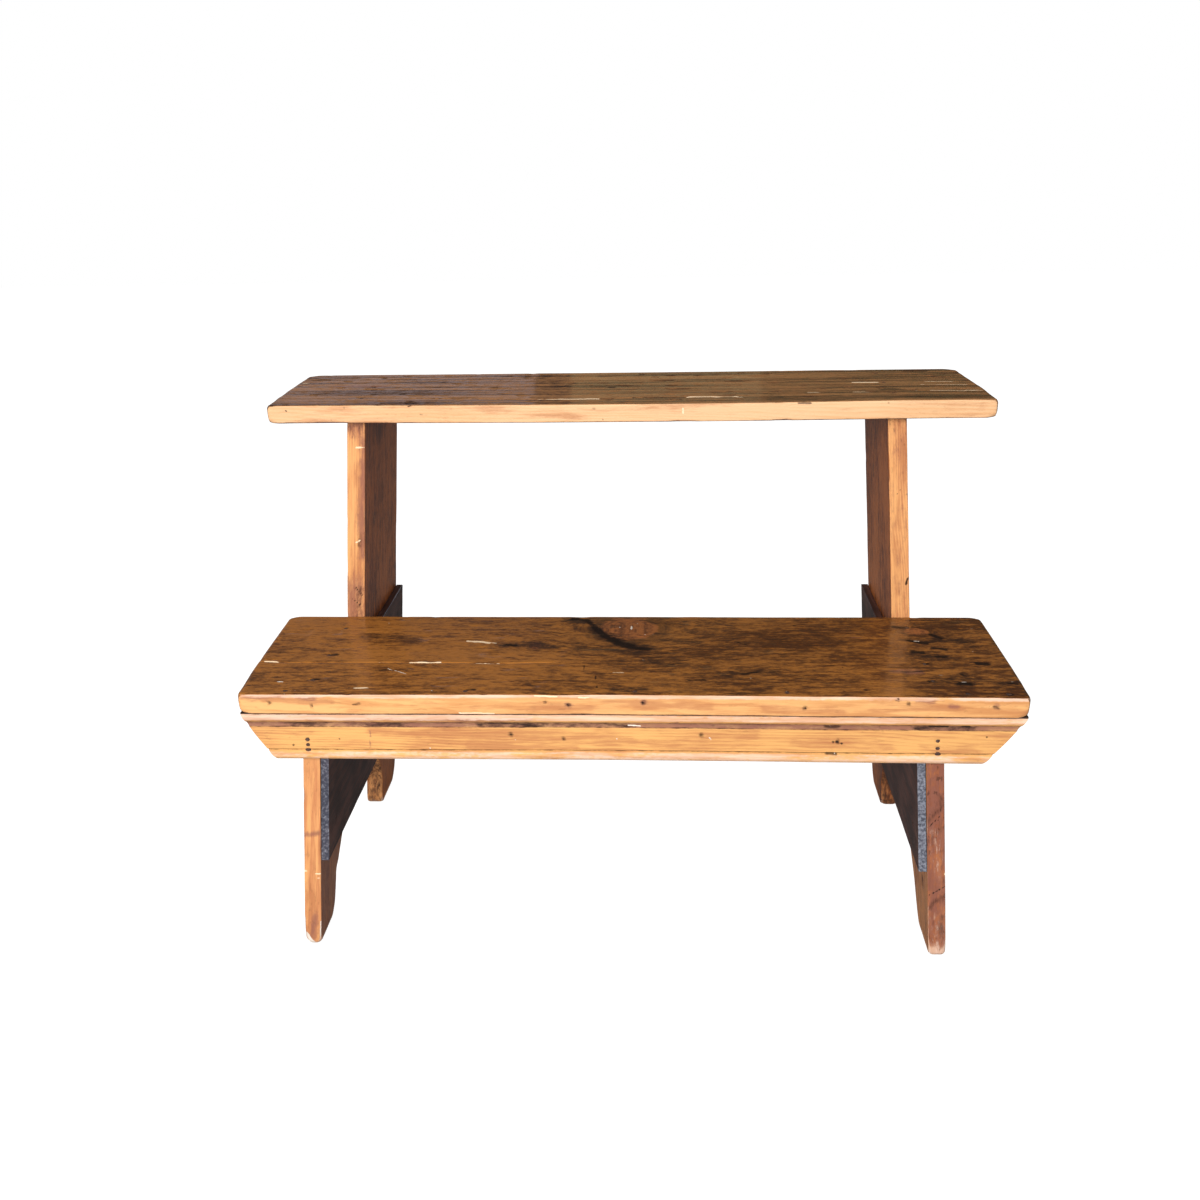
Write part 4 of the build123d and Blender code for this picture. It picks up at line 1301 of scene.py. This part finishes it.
def nail_tree():
    """A Geometry Nodes tree that stands a cut nail at every point of a mesh, and its inputs."""
    tree = bpy.data.node_groups.new("cut_nails", "GeometryNodeTree")

    def socket(name, way, kind):
        return tree.interface.new_socket(name, in_out=way, socket_type=f"NodeSocket{kind}")

    socket("Places", "INPUT", "Geometry")
    socket("Nails", "OUTPUT", "Geometry")
    inputs = {name: socket(name, "INPUT", "Float").identifier for name in ("Nail Length", *NAIL_SIZES)}
    inputs["Seed"] = socket("Seed", "INPUT", "Int").identifier
    inputs["Iron"] = socket("Iron", "INPUT", "Material").identifier
    nodes = Nodes(tree)
    group = nodes.node("NodeGroupInput", output=None)
    given = {plug.name: Field(nodes, plug) for plug in group.outputs if plug.name}

    # A block of five layers, which become the tip, the shank's top, and the head's under, side
    # and top. rise, ledge, side and crown say how far a layer is past each of those.
    counts = {"Size": (1.0, 1.0, 1.0), "Vertices X": 7, "Vertices Y": 5, "Vertices Z": 5}
    block = nodes.node("GeometryNodeMeshCube", None, counts)
    place = nodes.node("GeometryNodeInputPosition")
    x, y, z = (nodes.node("ShaderNodeSeparateXYZ", None, (place,), output=axis) for axis in range(3))
    layer = (z + 0.5) * 4.0
    rise, ledge, side, crown = (
        nodes.node("ShaderNodeMapRange", None, (layer, float(low), low + 1.0, 0.0, 1.0))
        for low in range(4)
    )
    round_off = 1 - (x * x * y * y) * ledge * 1.8
    wide = given["Shank Tip"] + rise * (given["Shank Width"] - given["Shank Tip"])
    wide = (wide + ledge * (given["Head Length"] - given["Shank Width"])) * (1 - crown * 0.2)
    deep = given["Shank Flat"] + ledge * (given["Head Width"] - given["Shank Flat"])
    deep = deep * (1 - crown * 0.22)
    up = rise * (given["Nail Length"] - given["Sink"] - given["Head Thickness"]) - given["Nail Length"]
    up = up + side * given["Head Thickness"] * 0.6 + crown * given["Head Thickness"] * 0.4
    up = up - crown * (x * x + y * y) * given["Head Thickness"] * 0.8
    shaped = nodes.node("ShaderNodeCombineXYZ", None, (x * wide * round_off, y * deep * round_off, up))
    nail = nodes.node("GeometryNodeSetPosition", None, {"Geometry": block, "Position": shaped})

    turn = None
    for axis, pivot, name in (("Z", "AUTO", "out"), ("X", "Z", "long")):
        settings = {"data_type": "FLOAT_VECTOR"}
        way = nodes.node("GeometryNodeInputNamedAttribute", settings, {"Name": name})
        values = {"Vector": way} if turn is None else {"Rotation": turn, "Vector": way}
        settings = {"axis": axis, "pivot_axis": pivot}
        turn = nodes.node("FunctionNodeAlignRotationToVector", settings, values)
    values = {"Points": given["Places"], "Instance": nail, "Rotation": turn}
    nails = nodes.node("GeometryNodeInstanceOnPoints", None, values)
    nails = nodes.node("GeometryNodeRealizeInstances", None, (nails,))
    values = {"Vector": place, "W": given["Seed"], "Scale": 260.0, "Detail": 2.0}
    rough = nodes.node("ShaderNodeTexNoise", {"noise_dimensions": "4D"}, values, "Color")
    off = nodes.node("ShaderNodeVectorMath", {"operation": "SUBTRACT"}, (rough, (0.5, 0.5, 0.5)))
    settings = {"operation": "SCALE"}
    off = nodes.node("ShaderNodeVectorMath", settings, {0: off, "Scale": given["Hammered"] * 2.0})
    nails = nodes.node("GeometryNodeSetPosition", None, {"Geometry": nails, "Offset": off})
    nails = nodes.node("GeometryNodeSetMaterial", None, {"Geometry": nails, "Material": given["Iron"]})
    nodes.node("NodeGroupOutput", None, (nails,), None)
    return tree, inputs


IRON = rusty_iron()
NAIL_TREE, NAIL_INPUTS = nail_tree()


def drive(name, length, out, long, places):
    """A group of like nails at places. out points out of the wood, and heads are long along long."""
    mesh = bpy.data.meshes.new(name)
    mesh.from_pydata(places, [], [])
    for key, way in (("out", out), ("long", long)):
        attribute = mesh.attributes.new(key, "FLOAT_VECTOR", "POINT")
        attribute.data.foreach_set("vector", list(way) * len(places))
    nails = put_in_scene(f"{name}_iron", mesh)
    modifier = nails.modifiers.new("nails", "NODES")
    modifier.node_group = NAIL_TREE
    values = {"Nail Length": length, **NAIL_SIZES, "Seed": NAIL_SEED, "Iron": IRON}
    for key, value in values.items():
        modifier[NAIL_INPUTS[key]] = value
    evaluated = nails.evaluated_get(bpy.context.evaluated_depsgraph_get())
    made = bpy.data.meshes.new_from_object(evaluated)
    nails.modifiers.remove(modifier)
    nails.data = made
    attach(nails, "root")
    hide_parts(name)


def sunk(x, y):
    """How much lower than flat the bowed lower shelf's top lies at a nail."""
    return settled(x) * (1 - FLATTER_BACK * (y - FRONT_Y) / (SEAM_Y - FRONT_Y))


LOWER_TOP_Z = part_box("lower_shelf")[1].z
UPPER_TOP_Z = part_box("upper_shelf")[1].z
UP, AWAY, SIDEWAYS, BACKWARD = (0, 0, 1), (0, -1, 0), (1, 0, 0), (0, 1, 0)
for side_name, side in SIDES.items():
    places = [(x, y, UPPER_TOP_Z) for x, y in UPRIGHT_NAILS[side_name]]
    drive(f"{side_name}_upper_shelf_nails", NAIL_LENGTHS["shelf"], UP, BACKWARD, places)
    places = [(x, y, LOWER_TOP_Z - sunk(x, y)) for x, y in LEG_NAILS[side_name]]
    drive(f"{side_name}_lower_shelf_nails", NAIL_LENGTHS["shelf"], UP, BACKWARD, places)
    places = [(x, APRON_LOW.y + FASCIA_SETBACK, z) for x, z in APRON_NAILS[side_name]]
    drive(f"{side_name}_apron_nails", NAIL_LENGTHS["apron_face"], AWAY, SIDEWAYS, places)
    places = [(inner_x(side_name, z) - side * CLEAT_THICK, y, z) for y, z in CLEAT_NAILS]
    square = Vector((-side, 0, -SPREAD[side_name])).normalized()
    drive(f"{side_name}_cleat_nails", NAIL_LENGTHS["cleat"], square, BACKWARD, places)
places = [(x, y, LOWER_TOP_Z - sunk(x, y)) for x, y in APRON_TOP_NAILS]
drive("apron_top_nails", NAIL_LENGTHS["apron_top"], UP, SIDEWAYS, places)


# Stage: a plain pale floor, soft studio light, and the camera.
FLOOR_REACH = 9.0
FLOOR_LIT = 0.93  # as bright as the camera sees it where no light falls
SKY_DIFFUSE, SKY_GLOSSY = 0.55, 0.03
floor_corners = [(x * FLOOR_REACH, y * FLOOR_REACH, 0) for x, y in ((-1, -1), (1, -1), (1, 1), (-1, 1))]
floor_mesh = bpy.data.meshes.new("floor")
floor_mesh.from_pydata(floor_corners, [], [(0, 1, 2, 3)])
floor = put_in_scene("floor", floor_mesh)
pale = Shader("pale_floor")
seen = pale.node("ShaderNodeLightPath", output="Is Camera Ray")
floor_mesh.materials.append(pale.finish(
    Base_Color=(0.3, 0.3, 0.3),
    Roughness=0.9,
    Specular_IOR_Level=0.0,
    Emission_Color=(1.0, 1.0, 1.0),
    Emission_Strength=seen * FLOOR_LIT,
))

world = bpy.data.worlds.new("studio")
bpy.context.scene.world = world
world.use_nodes = True
sky = Nodes(world.node_tree)
sky.tree.nodes.clear()
camera_ray = sky.node("ShaderNodeLightPath", output="Is Camera Ray")
glossy_ray = sky.node("ShaderNodeLightPath", output="Is Glossy Ray")
strength = glossy_ray * (SKY_GLOSSY - SKY_DIFFUSE) + SKY_DIFFUSE
strength = camera_ray + (1 - camera_ray) * strength
light = sky.node("ShaderNodeBackground", None, {"Color": (1, 1, 1, 1), "Strength": strength})
sky.node("ShaderNodeOutputWorld", None, {"Surface": light}, None)


def softbox(name, place, target, width, height, power, colour=(1, 1, 1)):
    light = bpy.data.lights.new(name, "AREA")
    light.shape = "RECTANGLE"
    light.size = width
    light.size_y = height
    light.energy = power
    light.color = colour
    lamp = put_in_scene(name, light)
    lamp.location = place
    lamp.rotation_mode = "QUATERNION"
    lamp.rotation_quaternion = (Vector(target) - Vector(place)).to_track_quat("-Z", "Y")
    return lamp


def show_to_gloss_only(lamp):
    lamp.visible_camera = False
    lamp.visible_diffuse = False


# The key light falls softly from the front. The gloss doesn't mirror it, but only a dim card in
# its place, or the tops would be blown out from behind.
KEY_PLACE, KEY_TARGET, KEY_SIZE = (-0.8, -3.6, 1.7), (0, 0, 0.4), (3.0, 1.6)
KEY_POWER, KEY_CARD_POWER = 172, 20
key = softbox("key", KEY_PLACE, KEY_TARGET, *KEY_SIZE, KEY_POWER)
key.visible_glossy = False
show_to_gloss_only(softbox("key_card", KEY_PLACE, KEY_TARGET, *KEY_SIZE, KEY_CARD_POWER))

# Dim cards behind the bench, from X to X, and how bright they are. Only gloss sees them: the upper
# shelf's top mirrors them.
CARD_Y, CARD_LOW, CARD_HIGH = 3.0, 0.9, 1.4
CARDS = {
    "left_card": (-2.4, -0.446, (0.40, 0.29, 0.28)),
    "middle_card": (-0.3085, 0.40, (0.34, 0.23, 0.10)),
    "right_card": (0.40, 2.4, (0.16, 0.10, 0.03)),
}
for name, (start, end, radiance) in CARDS.items():
    wide, tall = end - start, CARD_HIGH - CARD_LOW
    brightest = max(radiance)
    place = ((start + end) / 2, CARD_Y, (CARD_LOW + CARD_HIGH) / 2)
    toward = (place[0], 0, place[2])
    power = math.pi * wide * tall * brightest
    colour = [value / brightest for value in radiance]
    show_to_gloss_only(softbox(name, place, toward, wide, tall, power, colour))

CAMERA_PLACE = (0.0652, -1.8215, 1.0716)
YAW, PITCH, ROLL = (math.radians(angle) for angle in (3.906, 12.577, 1.273))
FOCAL_LENGTH = 39.17
SHIFT = (0.0132, -0.1346)
lens = bpy.data.cameras.new("camera")
camera = put_in_scene("camera", lens)
bpy.context.scene.camera = camera
level = Matrix.Rotation(YAW, 4, "Z") @ Matrix.Rotation(math.pi / 2 - PITCH, 4, "X")
camera.matrix_world = Matrix.Translation(CAMERA_PLACE) @ level @ Matrix.Rotation(-ROLL, 4, "Z")
lens.sensor_width = 36
lens.lens = FOCAL_LENGTH
lens.shift_x, lens.shift_y = SHIFT
bpy.context.scene.view_settings.view_transform = "Standard"
